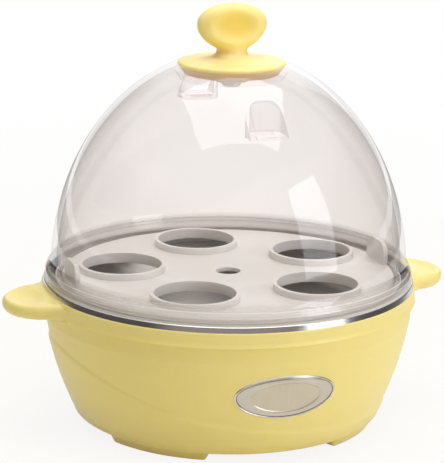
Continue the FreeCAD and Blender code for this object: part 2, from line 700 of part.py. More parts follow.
def make_stud_nuts():
    nuts = []
    for angle in stud_angles:
        spot = polar(stud_pitch_r, angle)
        turns = [360.0 * k / NUT_SIDES for k in range(NUT_SIDES + 1)]
        corners = [spot + polar(NUT_R, turn, shield_under - NUT_HEIGHT) for turn in turns]
        prism = Part.Face(Part.Wire(path(corners))).extrude(Vector(0, 0, NUT_HEIGHT))
        nuts += [prism.cut(rod(STUD_R + SCREW_GAP, 0, BODY_TOP, spot.x, spot.y))]
    return Part.makeCompound(nuts)


def make_heat_shield():
    half = 0.5 * SHIELD_EAR_WIDTH
    shield = rod(boss_pitch_r - BOSS_R - SHIELD_GAP, shield_under, shield_top)
    ear = box(0, lug_reach + SHIELD_BEAR, -half, half, shield_under, shield_top)
    ears = [turned(ear, a) for a in stud_angles]
    spots = [polar(stud_pitch_r, a) for a in stud_angles]
    holes = [rod(STUD_R + SHIELD_HOLE_GAP, 0, BODY_TOP, p.x, p.y) for p in spots]
    return shield.multiFuse(ears).removeSplitter().cut(Part.makeCompound(holes))


# Button, bezel and switch
def make_button_bezel():
    sleeve_length = BEZEL_HALF_LENGTH - BEZEL_LIP
    sleeve_height = BEZEL_HALF_HEIGHT - BEZEL_LIP
    sleeve = oval(sleeve_length, sleeve_height, -BEZEL_DEPTH, BEZEL_DEPTH)
    lip = oval(BEZEL_HALF_LENGTH, BEZEL_HALF_HEIGHT, -BEZEL_DEPTH, BEZEL_DEPTH).cut(body_skin(0))
    bezel = sleeve.fuse(lip).common(body_skin(BEZEL_PROUD))
    reach = 2 * BEZEL_DEPTH
    opening = oval(sleeve_length - BEZEL_WALL, sleeve_height - BEZEL_WALL, -reach, reach)
    return bezel.cut(opening).removeSplitter()


def make_power_button():
    length = BEZEL_HALF_LENGTH - BEZEL_LIP - BEZEL_WALL - BUTTON_GAP
    height = BEZEL_HALF_HEIGHT - BEZEL_LIP - BEZEL_WALL - BUTTON_GAP
    cap = oval(length, height, -BUTTON_DEPTH, BEZEL_DEPTH).common(body_skin(BUTTON_PROUD))
    pan = oval(BUTTON_PAN_HALF_LENGTH, BUTTON_PAN_HALF_HEIGHT, -BUTTON_DEPTH, BEZEL_DEPTH)
    return cap.cut(pan.cut(body_skin(BUTTON_PROUD - BUTTON_PAN)))


def make_switch_plunger():
    return at_button(rod(PLUNGER_R, -BUTTON_DEPTH - PLUNGER_LENGTH, -BUTTON_DEPTH))


def make_power_switch():
    back = -HOLDER_DEPTH - HOLDER - SWITCH_DEPTH
    block = box(-0.5 * SWITCH_LENGTH, 0.5 * SWITCH_LENGTH, -0.5 * SWITCH_HEIGHT, 0.5 * SWITCH_HEIGHT,
                back, -HOLDER_DEPTH - HOLDER)
    pressed = -BUTTON_DEPTH - PLUNGER_LENGTH - BUTTON_TRAVEL
    bore = rod(PLUNGER_R + PLUNGER_GAP, pressed - PLUNGER_GAP, 0)
    spades = [spade(back, 0.5 * side * SPADE_PITCH, 0, 0) for side in (-1, 1)]
    return at_button(block.cut(bore).multiFuse(spades))


def make_switch_holder():
    plate = box(-HOLDER_HALF_LENGTH, HOLDER_HALF_LENGTH, -HOLDER_HALF_HEIGHT, HOLDER_HALF_HEIGHT,
                -HOLDER_DEPTH - HOLDER, -HOLDER_DEPTH)
    cuts = [rod(PLUNGER_R + PLUNGER_GAP, -FAR, 0)]
    cuts += [rod(HOLDER_SCREW_R + SCREW_GAP, -FAR, 0, 0.5 * s * HOLDER_SCREW_PITCH, 0) for s in (-1, 1)]
    cuts += [rod(LAMP_R + SCREW_GAP, -FAR, 0, LAMP_X, 0)]
    return at_button(plate.cut(Part.makeCompound(cuts)))


def make_indicator_lamp():
    front = -HOLDER_DEPTH + LAMP_LENGTH - HOLDER
    bulb = rod(LAMP_R, -HOLDER_DEPTH - HOLDER, front, LAMP_X, 0)
    bulb = bulb.makeFillet(LAMP_ROUND, circles(bulb, LAMP_R, front))
    base = rod(LAMP_BASE_R, -HOLDER_DEPTH - 2 * HOLDER, -HOLDER_DEPTH - HOLDER, LAMP_X, 0)
    return at_button(bulb.fuse(base))


def make_holder_screws():
    grip = HOLDER + THREAD_REACH * HOLDER_SCREW_GRIP
    screw = pan_head_screw(HOLDER_SCREW_R, HOLDER_HEAD_R, HOLDER_HEAD, grip)
    copies = []
    for side in (-1, 1):
        copy = screw.copy()
        copy.translate(Vector(0.5 * side * HOLDER_SCREW_PITCH, 0, -HOLDER_DEPTH - HOLDER))
        copies += [at_button(copy)]
    return Part.makeCompound(copies)


# Bottom cover, terminal block and cord inlet
def make_bottom_cover():
    disc = rod(bottom_in_r - COVER_GAP, cover_under, cover_top)
    cuts = []
    for angle in boss_angles:
        spot = polar(boss_pitch_r, angle)
        cuts += [rod(COVER_SCREW_R + SCREW_GAP, 0, BODY_TOP, spot.x, spot.y)]
        cuts += [rod(COVER_HEAD_R + SCREW_GAP, 0, cover_under + COVER_HEAD, spot.x, spot.y)]
    half = 0.5 * COVER_SLOT_LENGTH
    for k in range(COVER_SLOTS):
        y = (k - 0.5 * (COVER_SLOTS - 1)) * COVER_SLOT_PITCH
        cuts += [box(-half, half, y - 0.5 * COVER_SLOT_WIDTH, y + 0.5 * COVER_SLOT_WIDTH, 0, BODY_TOP)]
    cuts += [rod(CLIP_SCREW_R + SCREW_GAP, 0, BODY_TOP, 0, block_y)]
    return disc.cut(Part.makeCompound(cuts))


def make_bottom_screws():
    grip = COVER - COVER_HEAD + THREAD_REACH * COVER_SCREW_GRIP
    screw = pan_head_screw(COVER_SCREW_R, COVER_HEAD_R, COVER_HEAD, grip)
    copies = []
    for angle in boss_angles:
        copy = screw.copy()
        copy.translate(polar(boss_pitch_r, angle, cover_under + COVER_HEAD))
        copies += [copy]
    return Part.makeCompound(copies)


def make_terminal_block():
    half = 0.5 * BLOCK_LENGTH
    deep = 0.5 * BLOCK_WIDTH
    block = box(-half, half, block_y - deep, block_y + deep, cover_top, cover_top + BLOCK_HEIGHT)
    cuts = [rod(CLIP_SCREW_R + SCREW_GAP, 0, BODY_TOP, 0, block_y)]
    for side in (-1, 1):
        start = Vector(0.5 * side * BLOCK_WIRE_PITCH, 0, cover_top + BLOCK_WIRE_Z)
        cuts += [Part.makeCylinder(BLOCK_WIRE_R, FAR, start, BACK)]
    return block.cut(Part.makeCompound(cuts))


def make_block_screw():
    screw = pan_head_screw(CLIP_SCREW_R, CLIP_HEAD_R, CLIP_HEAD, BLOCK_HEIGHT + THREAD_REACH * COVER)
    screw.rotate(ORIGIN, ACROSS, 180)
    screw.translate(Vector(0, block_y, cover_top + BLOCK_HEIGHT))
    return screw


def make_cord_gland(base_shell):
    back = body_r(GLAND_Z)
    start = back - WALL - GLAND_IN
    length = WALL + GLAND_IN + GLAND_OUT
    collar = Part.makeCylinder(GLAND_COLLAR_R, length, Vector(0, start, GLAND_Z), BACK)
    collar = collar.makeFillet(GLAND_EDGE, [e for e in collar.Edges if e.Closed])
    gland = collar.cut(Part.makeCylinder(GLAND_BORE_R, FAR, Vector(0, 0, GLAND_Z), BACK))
    return gland.cut(base_shell)


# Tray
def make_egg_tray():
    deck_top = ledge_top + TRAY_HEIGHT
    deck_low = deck_top - TRAY_DECK
    deck = revolve_points([(0, deck_low), (tray_r - TRAY_SKIRT, deck_low), (tray_r - TRAY_SKIRT, ledge_top),
                           (tray_r, ledge_top), (tray_r, deck_top), (0, deck_top)])
    deck = deck.makeFillet(TRAY_EDGE, circles(deck, tray_r, deck_top))
    collars = []
    holes = [rod(TRAY_STEAM_R, 0, FAR)]
    for angle in cup_angles:
        spot = polar(cup_pitch_r, angle)
        collars += [rod(CUP_R + CUP_COLLAR, deck_low, deck_top + CUP_COLLAR_HEIGHT, spot.x, spot.y)]
        holes += [rod(CUP_R, 0, FAR, spot.x, spot.y)]
    for middle in (0.0, 180.0):
        collars += [finger_tab(middle, tray_r - TAB_INSET, deck_top)]
    return deck.multiFuse(collars).cut(Part.makeCompound(holes)).removeSplitter()


def finger_tab(degrees, outer, deck_top):
    """An upright tab with rounded corners at the edge of the tray."""
    half = 0.5 * TAB_WIDTH
    tab = box(outer - TAB_THICK, outer, -half, half, deck_top - 0.5 * TRAY_DECK, deck_top + TAB_HEIGHT)
    top = [e for e in tab.Edges if abs(e.CenterOfMass.z - deck_top - TAB_HEIGHT) < NEAR
           and abs(abs(e.CenterOfMass.y) - half) < NEAR]
    return turned(tab.makeFillet(TAB_ROUND, top), degrees)


# Lid
def dome_section(inset):
    """Half the dome's section, moved in by inset: the floor and cone of the knob's recess, then the
    dome's ellipse down to the flange's curve.
    """
    across = dome_r - inset
    tall = dome_half_height - inset
    floor = knob_seat - inset
    lean = (KNOB_FLANGE_R - KNOB_SEAT_R) / (KNOB_FLANGE_HEIGHT - KNOB_EDGE)
    floor_r = KNOB_SEAT_R + SEAT_GAP + inset * (math.hypot(1, lean) - lean)
    # The cone meets the ellipse at the height that solves a quadratic
    a = (lean / across) ** 2 + 1 / tall ** 2
    b = lean * floor_r / across ** 2 + (floor - dome_centre) / tall ** 2
    c = (floor_r / across) ** 2 + ((floor - dome_centre) / tall) ** 2 - 1
    rise = (math.sqrt(b ** 2 - a * c) - b) / a
    mouth = rz(floor_r + lean * rise, floor + rise)
    ellipse = Part.Ellipse(rz(0, dome_centre + tall), rz(across, dome_centre), rz(0, dome_centre))
    start = math.acos((mouth.z - dome_centre) / tall)
    end = math.acos((LID_OGEE_TOP - DOME_CENTRE) / tall)
    side = Part.ArcOfEllipse(ellipse, start, end).toShape()
    return path([rz(0, floor), rz(floor_r, floor), mouth]) + [side]


def last_point(edges):
    return edges[-1].valueAt(edges[-1].LastParameter)


def vent_prism(grow, floor):
    """A round-cornered upright shaft that opens to the front, for one vent pocket."""
    half = 0.5 * VENT_WIDTH + grow
    shaft = box(-half, half, -dome_r, -vent_back + grow, floor, FAR)
    corners = [e for e in shaft.Edges if abs(e.CenterOfMass.y + vent_back - grow) < NEAR
               and abs(abs(e.CenterOfMass.x) - half) < NEAR]
    return shaft.makeFillet(VENT_CORNER + grow, corners)


def make_lid_dome():
    flange_r = RIM_R - LID_FLANGE_INSET
    spigot_low = rim_top - SPIGOT_DEPTH
    outside = dome_section(0)
    base = last_point(outside)
    side_top = rz(flange_r, rim_top + LID_FLANGE_HEIGHT)
    ogee = Part.BezierCurve()
    ogee.setPoles([base, base - UP * LID_OGEE_EASE, side_top + UP * LID_OGEE_EASE, side_top])
    outside += [ogee.toShape()]
    outside += path([side_top, rz(flange_r, rim_top), rz(spigot_r, rim_top), rz(spigot_r, spigot_low),
                     rz(0, spigot_low), rz(0, knob_seat)])
    outside = revolve(outside)
    rings = [e for e in outside.Edges if e.Curve.TypeId == "Part::GeomCircle"]
    outside = outside.makeFillet(SEAT_EDGE, [e for e in rings if e.Curve.Center.z > knob_seat + NEAR])
    inside = dome_section(DOME_WALL)
    inside += path([last_point(inside), rz(spigot_in_r, rim_top), rz(spigot_in_r, -FAR), rz(0, -FAR),
                    rz(0, knob_seat - DOME_WALL)])
    inside = revolve(inside)
    pocket = vent_prism(VENT_WALL, vent_floor - VENT_WALL).common(outside)
    hollow = vent_prism(0, vent_floor)
    slot_back = -vent_back - VENT_SLOT_SET
    slot = box(-0.5 * VENT_SLOT_LENGTH, 0.5 * VENT_SLOT_LENGTH, slot_back - VENT_SLOT_WIDTH, slot_back,
               vent_floor - 2 * VENT_WALL, vent_floor + VENT_WALL)
    dome = outside.cut(inside).multiFuse([pocket, turned(pocket, 180)])
    cuts = [hollow, turned(hollow, 180), slot, turned(slot, 180)]
    cuts += [rod(KNOB_SCREW_R + 2 * SCREW_GAP, knob_seat - 2 * DOME_WALL, knob_seat + DOME_WALL)]
    for cut in cuts:
        dome = dome.cut(cut)
    return dome.removeSplitter()


def paddle_sections():
    """Height, half width and half thickness of the paddle's oval sections, from the neck up.

    Below its widest point the half width is the fourth-power mean of an oval and a fading neck.
    """
    drop = PADDLE_WIDE_Z - KNOB_NECK_Z
    rise = KNOB_HEIGHT - PADDLE_WIDE_Z
    sections = []
    for k in range(PADDLE_STEPS + 1):
        share = k / PADDLE_STEPS
        below = (1 - share) * drop / PADDLE_ROUND
        bulge = PADDLE_HALF_WIDTH * math.sqrt(max(1 - below ** 2, 0))
        half = math.sqrt(math.hypot(bulge ** 2, (KNOB_NECK_R * (1 - share ** 2)) ** 2))
        thick = KNOB_NECK_R + (PADDLE_HALF_THICK - KNOB_NECK_R) * share
        sections += [(KNOB_NECK_Z + share * drop, half, min(thick, half))]
    for k in range(1, PADDLE_STEPS + 1):
        turn = 0.5 * math.pi * k / (PADDLE_STEPS + PADDLE_CAP)
        shrink = math.cos(turn)
        height = PADDLE_WIDE_Z + math.sin(turn) * rise
        sections += [(height, PADDLE_HALF_WIDTH * shrink, PADDLE_HALF_THICK * shrink)]
    return sections


def make_lid_knob():
    flange_top = knob_seat + KNOB_FLANGE_HEIGHT
    neck = knob_seat + KNOB_NECK_Z
    crown = flange_top + KNOB_CROWN
    foot_r = KNOB_NECK_R + KNOB_NECK_FLARE
    flank = rz(KNOB_NECK_R + QUARTER * KNOB_NECK_FLARE, crown + QUARTER * (neck - crown))
    flange = path([rz(0, knob_seat), rz(KNOB_SEAT_R, knob_seat), rz(KNOB_FLANGE_R, flange_top - KNOB_EDGE),
                   rz(KNOB_FLANGE_R - KNOB_EDGE, flange_top), rz(foot_r, crown)])
    flange += [arc(rz(foot_r, crown), flank, rz(KNOB_NECK_R, neck))]
    flange += path([rz(KNOB_NECK_R, neck), rz(0, neck), rz(0, knob_seat)])
    flange = revolve(flange)
    ovals = [Part.Ellipse(Vector(0, 0, knob_seat + z), a, b) for z, a, b in paddle_sections()]
    paddle = Part.makeLoft([Part.Wire(o.toShape()) for o in ovals], True)
    dishes = []
    for side in (-1, 1):
        y = side * (PADDLE_HALF_THICK - PADDLE_DISH + PADDLE_DISH_R)
        dishes += [Part.makeSphere(PADDLE_DISH_R, Vector(0, y, knob_seat + PADDLE_DISH_Z))]
    pilot = rod(KNOB_SCREW_R + SCREW_GAP, knob_seat, knob_seat + KNOB_SCREW_GRIP)
    return flange.fuse(paddle.cut(Part.makeCompound(dishes))).cut(pilot)


def make_knob_washer():
    low = knob_seat - DOME_WALL - KNOB_WASHER
    return ring(KNOB_SCREW_R + SCREW_GAP, KNOB_WASHER_R, low, low + KNOB_WASHER)


def make_knob_screw():
    head = knob_seat - DOME_WALL - KNOB_WASHER
    screw = pan_head_screw(KNOB_SCREW_R, KNOB_SCREW_HEAD_R, KNOB_SCREW_HEAD,
                           KNOB_WASHER + DOME_WALL + THREAD_REACH * KNOB_SCREW_GRIP)
    screw.translate(Vector(0, 0, head))
    return screw


base_shell = make_base_shell()
nodes = {
    "base_shell": base_shell,
    "heating_plate": make_heating_plate(),
    "plate_seal": make_plate_seal(),
    "heat_spreader": make_heat_spreader(),
    "heating_element": make_heating_element(),
    "thermostat": make_thermostat(),
    "thermostat_clip": make_thermostat_clip(),
    "thermal_fuse": make_thermal_fuse(),
    "fuse_clip": make_fuse_clip(),
    "clip_screws": make_clip_screws(),
    "plate_studs": make_plate_studs(),
    "stud_nuts": make_stud_nuts(),
    "heat_shield": make_heat_shield(),
    "button_bezel": make_button_bezel(),
    "power_button": make_power_button(),
    "switch_plunger": make_switch_plunger(),
    "power_switch": make_power_switch(),
    "switch_holder": make_switch_holder(),
    "holder_screws": make_holder_screws(),
    "indicator_lamp": make_indicator_lamp(),
    "bottom_cover": make_bottom_cover(),
    "bottom_screws": make_bottom_screws(),
    "terminal_block": make_terminal_block(),
    "block_screw": make_block_screw(),
    "cord_gland": make_cord_gland(base_shell),
    "egg_tray": make_egg_tray(),
    "lid_dome": make_lid_dome(),
    "lid_knob": make_lid_knob(),
    "knob_washer": make_knob_washer(),
    "knob_screw": make_knob_screw(),
}

os.makedirs("parts", exist_ok=True)
for name, shape in nodes.items():
    shape.exportStep("parts/" + name + ".step")
    print(name, "solids", len(shape.Solids), "valid", shape.isValid(), "volume", round(shape.Volume, 1))
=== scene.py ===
import math

import bmesh
import bpy
import numpy as np
from mathutils import Matrix, Vector


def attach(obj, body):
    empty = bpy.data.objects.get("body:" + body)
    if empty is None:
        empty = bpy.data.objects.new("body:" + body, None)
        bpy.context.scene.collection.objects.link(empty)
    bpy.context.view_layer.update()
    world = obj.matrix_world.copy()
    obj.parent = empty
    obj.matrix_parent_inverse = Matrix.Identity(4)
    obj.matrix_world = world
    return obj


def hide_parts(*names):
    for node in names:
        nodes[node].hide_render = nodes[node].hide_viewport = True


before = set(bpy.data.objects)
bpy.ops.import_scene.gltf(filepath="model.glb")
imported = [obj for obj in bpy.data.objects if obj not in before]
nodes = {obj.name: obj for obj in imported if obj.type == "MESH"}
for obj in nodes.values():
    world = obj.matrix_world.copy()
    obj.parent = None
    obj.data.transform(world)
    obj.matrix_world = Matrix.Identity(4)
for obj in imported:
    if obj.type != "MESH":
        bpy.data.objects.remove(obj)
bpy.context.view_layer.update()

# Base body: one thick-walled moulding in pale yellow plastic, with two thumb handles, a raised
# band under the steel rim, a soft wave line and four arc feet.  It comes out of its mould in one
# piece, with openings through the wall for the button and the cord inlet.
MM = 0.001
BODY_TOP = 56.0
BAND_R = 75.86
BAND_TOP_R = 75.38
BAND_LOW_Z = 50.2
BAND_LIP_HEIGHT = 1.5
BAND_CHAMFER = 0.6
TOP_ROUND = 0.6
SHOULDER_R = 74.0
SHOULDER_Z = 43.5
MID_R = 69.6
MID_Z = 24.3
BASE_R = 62.2
CORNER_R = 1.8
WALL = 2.2
RIM_IN_R = 55.0
RIM_TOP_Z = 8.0
FOOT_HEIGHT = 3.3
FOOT_LEAN = 0.8
# The feet run between these angles from the front or the back, in degrees.
FOOT_START = 25.5
FOOT_END = 67.0
FOOT_SLANT = 1.3
SKIRT_PROUD = 0.7
SKIRT_SOFT = 1.0
WAVE_X = (76.8, 19.2, -38.4, -76.8)
WAVE_Z = (7.5, 12.5, 9.5, 39.0)
HANDLE_TIP_X = 93.05
HANDLE_TIP_R = 16.5
HANDLE_FLARE_R = 11.0
HANDLE_LOW_Z = 49.0
HANDLE_THICK = 6.6
HANDLE_EDGE = 3.0
HANDLE_DISH = 1.9
HANDLE_DISH_SPAN = (8.6, 14.0)
# A handle has its full form where it stands out this far, and its top face uses the band's top strip.
HANDLE_FORM = 3.0
TOP_STRIP = 1.3
BODY_COLUMNS = 500
GLAND_HOLE_R = 4.8
GLAND_HOLE_Z = 13.0
GLAND_CUT_Y = (50.0, 80.0)
BUTTON_Z = 28.7
BUTTON_HOLE_HALF = (19.6, 8.9)
BUTTON_CUT_OUT = (-12.0, 8.0)
HOLE_COLUMNS = 144
# Below this height the body is painted a deeper yellow in patches, as shade near the table.
LOW_SHADE_TOP = 9.0
PIGMENT_DEEP = (0.880, 0.732, 0.256, 1)
PIGMENT_PALE = (0.920, 0.795, 0.325, 1)
PIGMENT_SHADED = (0.720, 0.562, 0.085, 1)


def smooth_step(low, high, value):
    """0 below low, 1 above high, and 3t^2 - 2t^3 of the share t in between."""
    share = np.clip((value - low) / (high - low), 0, 1)
    return share * share * (3 - 2 * share)


def skin_mesh(name, points, loop_rows=False, crease=35):
    """A mesh from a grid of points in millimetres: every four neighbours make one face.

    Columns run round and close, and rows close where loop_rows says so.  Points that meet at a
    pole are merged, faces turn outwards, and bends of more than crease degrees stay sharp.
    """
    rows, columns = points.shape[:2]
    index = np.arange(rows * columns).reshape(rows, columns)
    low = index if loop_rows else index[:-1]
    high = np.roll(index, -1, 0) if loop_rows else index[1:]
    faces = np.stack([low, np.roll(low, -1, 1), np.roll(high, -1, 1), high], -1)
    mesh = bpy.data.meshes.new(name)
    mesh.from_pydata(points.reshape(-1, 3) * MM, [], faces.reshape(-1, 4))
    shell = bmesh.new()
    shell.from_mesh(mesh)
    bmesh.ops.remove_doubles(shell, verts=shell.verts, dist=1e-7)
    bmesh.ops.recalc_face_normals(shell, faces=shell.faces)
    shell.to_mesh(mesh)
    shell.free()
    shade(mesh, crease)
    return mesh


def shade(mesh, crease):
    mesh.shade_smooth()
    mesh.set_sharp_from_angle(angle=math.radians(crease))


def new_piece(name, mesh):
    piece = bpy.data.objects.new(name, mesh)
    bpy.context.scene.collection.objects.link(piece)
    return piece


def cut_through(piece, tools, crease=35):
    """Takes each tool's closed shape out of the piece, keeps the result and drops the tools."""
    for tool in tools:
        cut = piece.modifiers.new("opening", "BOOLEAN")
        cut.operation = "DIFFERENCE"
        cut.solver = "EXACT"
        cut.object = tool
    bpy.context.view_layer.update()
    result = piece.evaluated_get(bpy.context.evaluated_depsgraph_get())
    mesh = bpy.data.meshes.new_from_object(result)
    piece.modifiers.clear()
    piece.data = mesh
    for tool in tools:
        bpy.data.objects.remove(tool)
    shade(mesh, crease)


class Socket:
    """An output of a shader node: sums on it add Math nodes, and node() adds any other node."""

    def __init__(self, tree, output):
        self.tree = tree
        self.output = output

    def node(self, kind, settings, inputs, output=0):
        """Adds a node, with its settings first and then a value or a link for each input."""
        made = self.tree.nodes.new("ShaderNode" + kind)
        for name, value in settings.items():
            setattr(made, name, value)
        for key, value in inputs.items():
            if isinstance(value, Socket):
                self.tree.links.new(value.output, made.inputs[key])
            else:
                made.inputs[key].default_value = value
        return Socket(self.tree, made.outputs[output]) if made.outputs else None

    def sum(self, operation, first, second):
        return self.node("Math", {"operation": operation}, {0: first, 1: second})

    def __add__(self, other):
        return self.sum("ADD", self, other)

    def __radd__(self, other):
        return self.sum("ADD", other, self)

    def __sub__(self, other):
        return self.sum("SUBTRACT", self, other)

    def __rsub__(self, other):
        return self.sum("SUBTRACT", other, self)

    def __mul__(self, other):
        return self.sum("MULTIPLY", self, other)

    def __rmul__(self, other):
        return self.sum("MULTIPLY", other, self)

    def noise(self, scale, detail=2.0, stretch=(1, 1, 1)):
        """Noise with lumps of about 1 / scale metres, longer along an axis of low stretch."""
        size = tuple(scale * share for share in stretch)
        spread = self.node("Mapping", {}, {"Vector": self, "Scale": size})
        return self.node("TexNoise", {}, {"Vector": spread, "Scale": 1.0, "Detail": detail})

    def rise(self, low, high):
        """0 at low and 1 at high, eased between them; low may be the larger."""
        return self.node("MapRange", {"interpolation_type": "SMOOTHSTEP"}, {0: self, 1: low, 2: high})

    def mix(self, share, first, second):
        """The first colour where share is 0, the second where it is 1."""
        return self.node("Mix", {"data_type": "RGBA"}, {0: share, 6: first, 7: second}, 2)

    def blend(self, share, first, second):
        """The first shader where share is 0, the second where it is 1."""
        return self.node("MixShader", {}, {0: share, 1: first, 2: second})

    def vector(self, operation, other):
        return self.node("VectorMath", {"operation": operation}, {0: self, 1: other})

    def length(self):
        return self.node("VectorMath", {"operation": "LENGTH"}, {0: self}, "Value")

    def from_axis(self):
        """Distance from the upright axis through the middle of the part."""
        return self.vector("MULTIPLY", (1, 1, 0)).length()

    def millimetres(self):
        """Coordinates in the script's own unit, to set against its sizes."""
        return self.vector("MULTIPLY", (1 / MM, 1 / MM, 1 / MM))

    def along(self, letter):
        return self.node("SeparateXYZ", {}, {0: self}, letter)

    def bump(self, height, strength, depth):
        """Relief from a height between 0 and 1, as deep as depth in millimetres."""
        return self.node("Bump", {}, {"Strength": strength, "Distance": depth * MM, "Height": height})


def new_finish(name):
    """A bare material, and the socket of its Object coordinates to build on."""
    finish = bpy.data.materials.new(name)
    finish.use_nodes = True
    finish.node_tree.nodes.clear()
    coordinates = finish.node_tree.nodes.new("ShaderNodeTexCoord")
    return finish, Socket(finish.node_tree, coordinates.outputs["Object"])


def set_surface(place, sockets):
    shader = place.node("BsdfPrincipled", {}, sockets)
    place.node("OutputMaterial", {}, {"Surface": shader})


def handle_reach(turn):
    """Distance of the plan outline from the axis: the tip's circle, the flare's, then the band's.

    On a ray at angle a, a circle of radius R whose centre is c away at angle b is met at
    c cos(a - b) plus or minus the root of R^2 - c^2 sin(a - b)^2.
    """
    fold = np.abs(np.mod(turn + 0.5 * np.pi, np.pi) - 0.5 * np.pi)
    tip = tip_x * np.cos(fold)
    tip = tip + np.sqrt(np.maximum(HANDLE_TIP_R ** 2 - (tip_x * np.sin(fold)) ** 2, 0))
    beside = fold - flare_turn
    flare = flare_away * np.cos(beside)
    flare = flare - np.sqrt(np.maximum(HANDLE_FLARE_R ** 2 - (flare_away * np.sin(beside)) ** 2, 0))
    return np.where(fold < join_turn, tip, np.where(fold < flare_turn, flare, BAND_R))


# A flare's circle touches the band and the tip's circle from outside, and the join is where it meets
# the tip's.
tip_x = HANDLE_TIP_X - HANDLE_TIP_R
flare_away = BAND_R + HANDLE_FLARE_R
circles_apart = HANDLE_TIP_R + HANDLE_FLARE_R
flare_cosine = (tip_x ** 2 + flare_away ** 2 - circles_apart ** 2) / (2 * tip_x * flare_away)
flare_turn = math.acos(flare_cosine)
tip_share = HANDLE_TIP_R / circles_apart
join_x = tip_x + tip_share * (flare_away * flare_cosine - tip_x)
join_y = tip_share * flare_away * math.sin(flare_turn)
join_turn = math.atan2(join_y, join_x)

# The side is a circle through three marks, with its middle at side_fit[0], side_fit[1].
side_marks = np.array([(BASE_R, FOOT_HEIGHT + CORNER_R), (MID_R, MID_Z), (SHOULDER_R, SHOULDER_Z)])
side_fit = np.linalg.solve(np.column_stack([2 * side_marks, np.ones(3)]), (side_marks ** 2).sum(1))
side_bend = math.sqrt(side_fit[2] + side_fit[0] ** 2 + side_fit[1] ** 2)


def side_radius(z):
    """Radius of the body's side: the circle in the R-Z plane through its foot, middle and shoulder."""
    return side_fit[0] + np.sqrt(side_bend ** 2 - (z - side_fit[1]) ** 2)


def body_rows(r, z, handle=0.0, share=0.0, swell=0.0, level=None, drop=0.0, skirt=0.0, top=0.0):
    """Rows of the body's grid: radius and height on the plain body, and what moves them elsewhere.

    On a handle a row starts from the band where handle is 1, slides out by share, bulges by swell
    and lies at level.  It falls by drop on a foot, stands out by skirt below the wave and sinks by
    top in a thumb dish.
    """
    level = z if level is None else level
    return np.stack(np.broadcast_arrays(r, z, handle, share, swell, level, drop, skirt, top), -1)


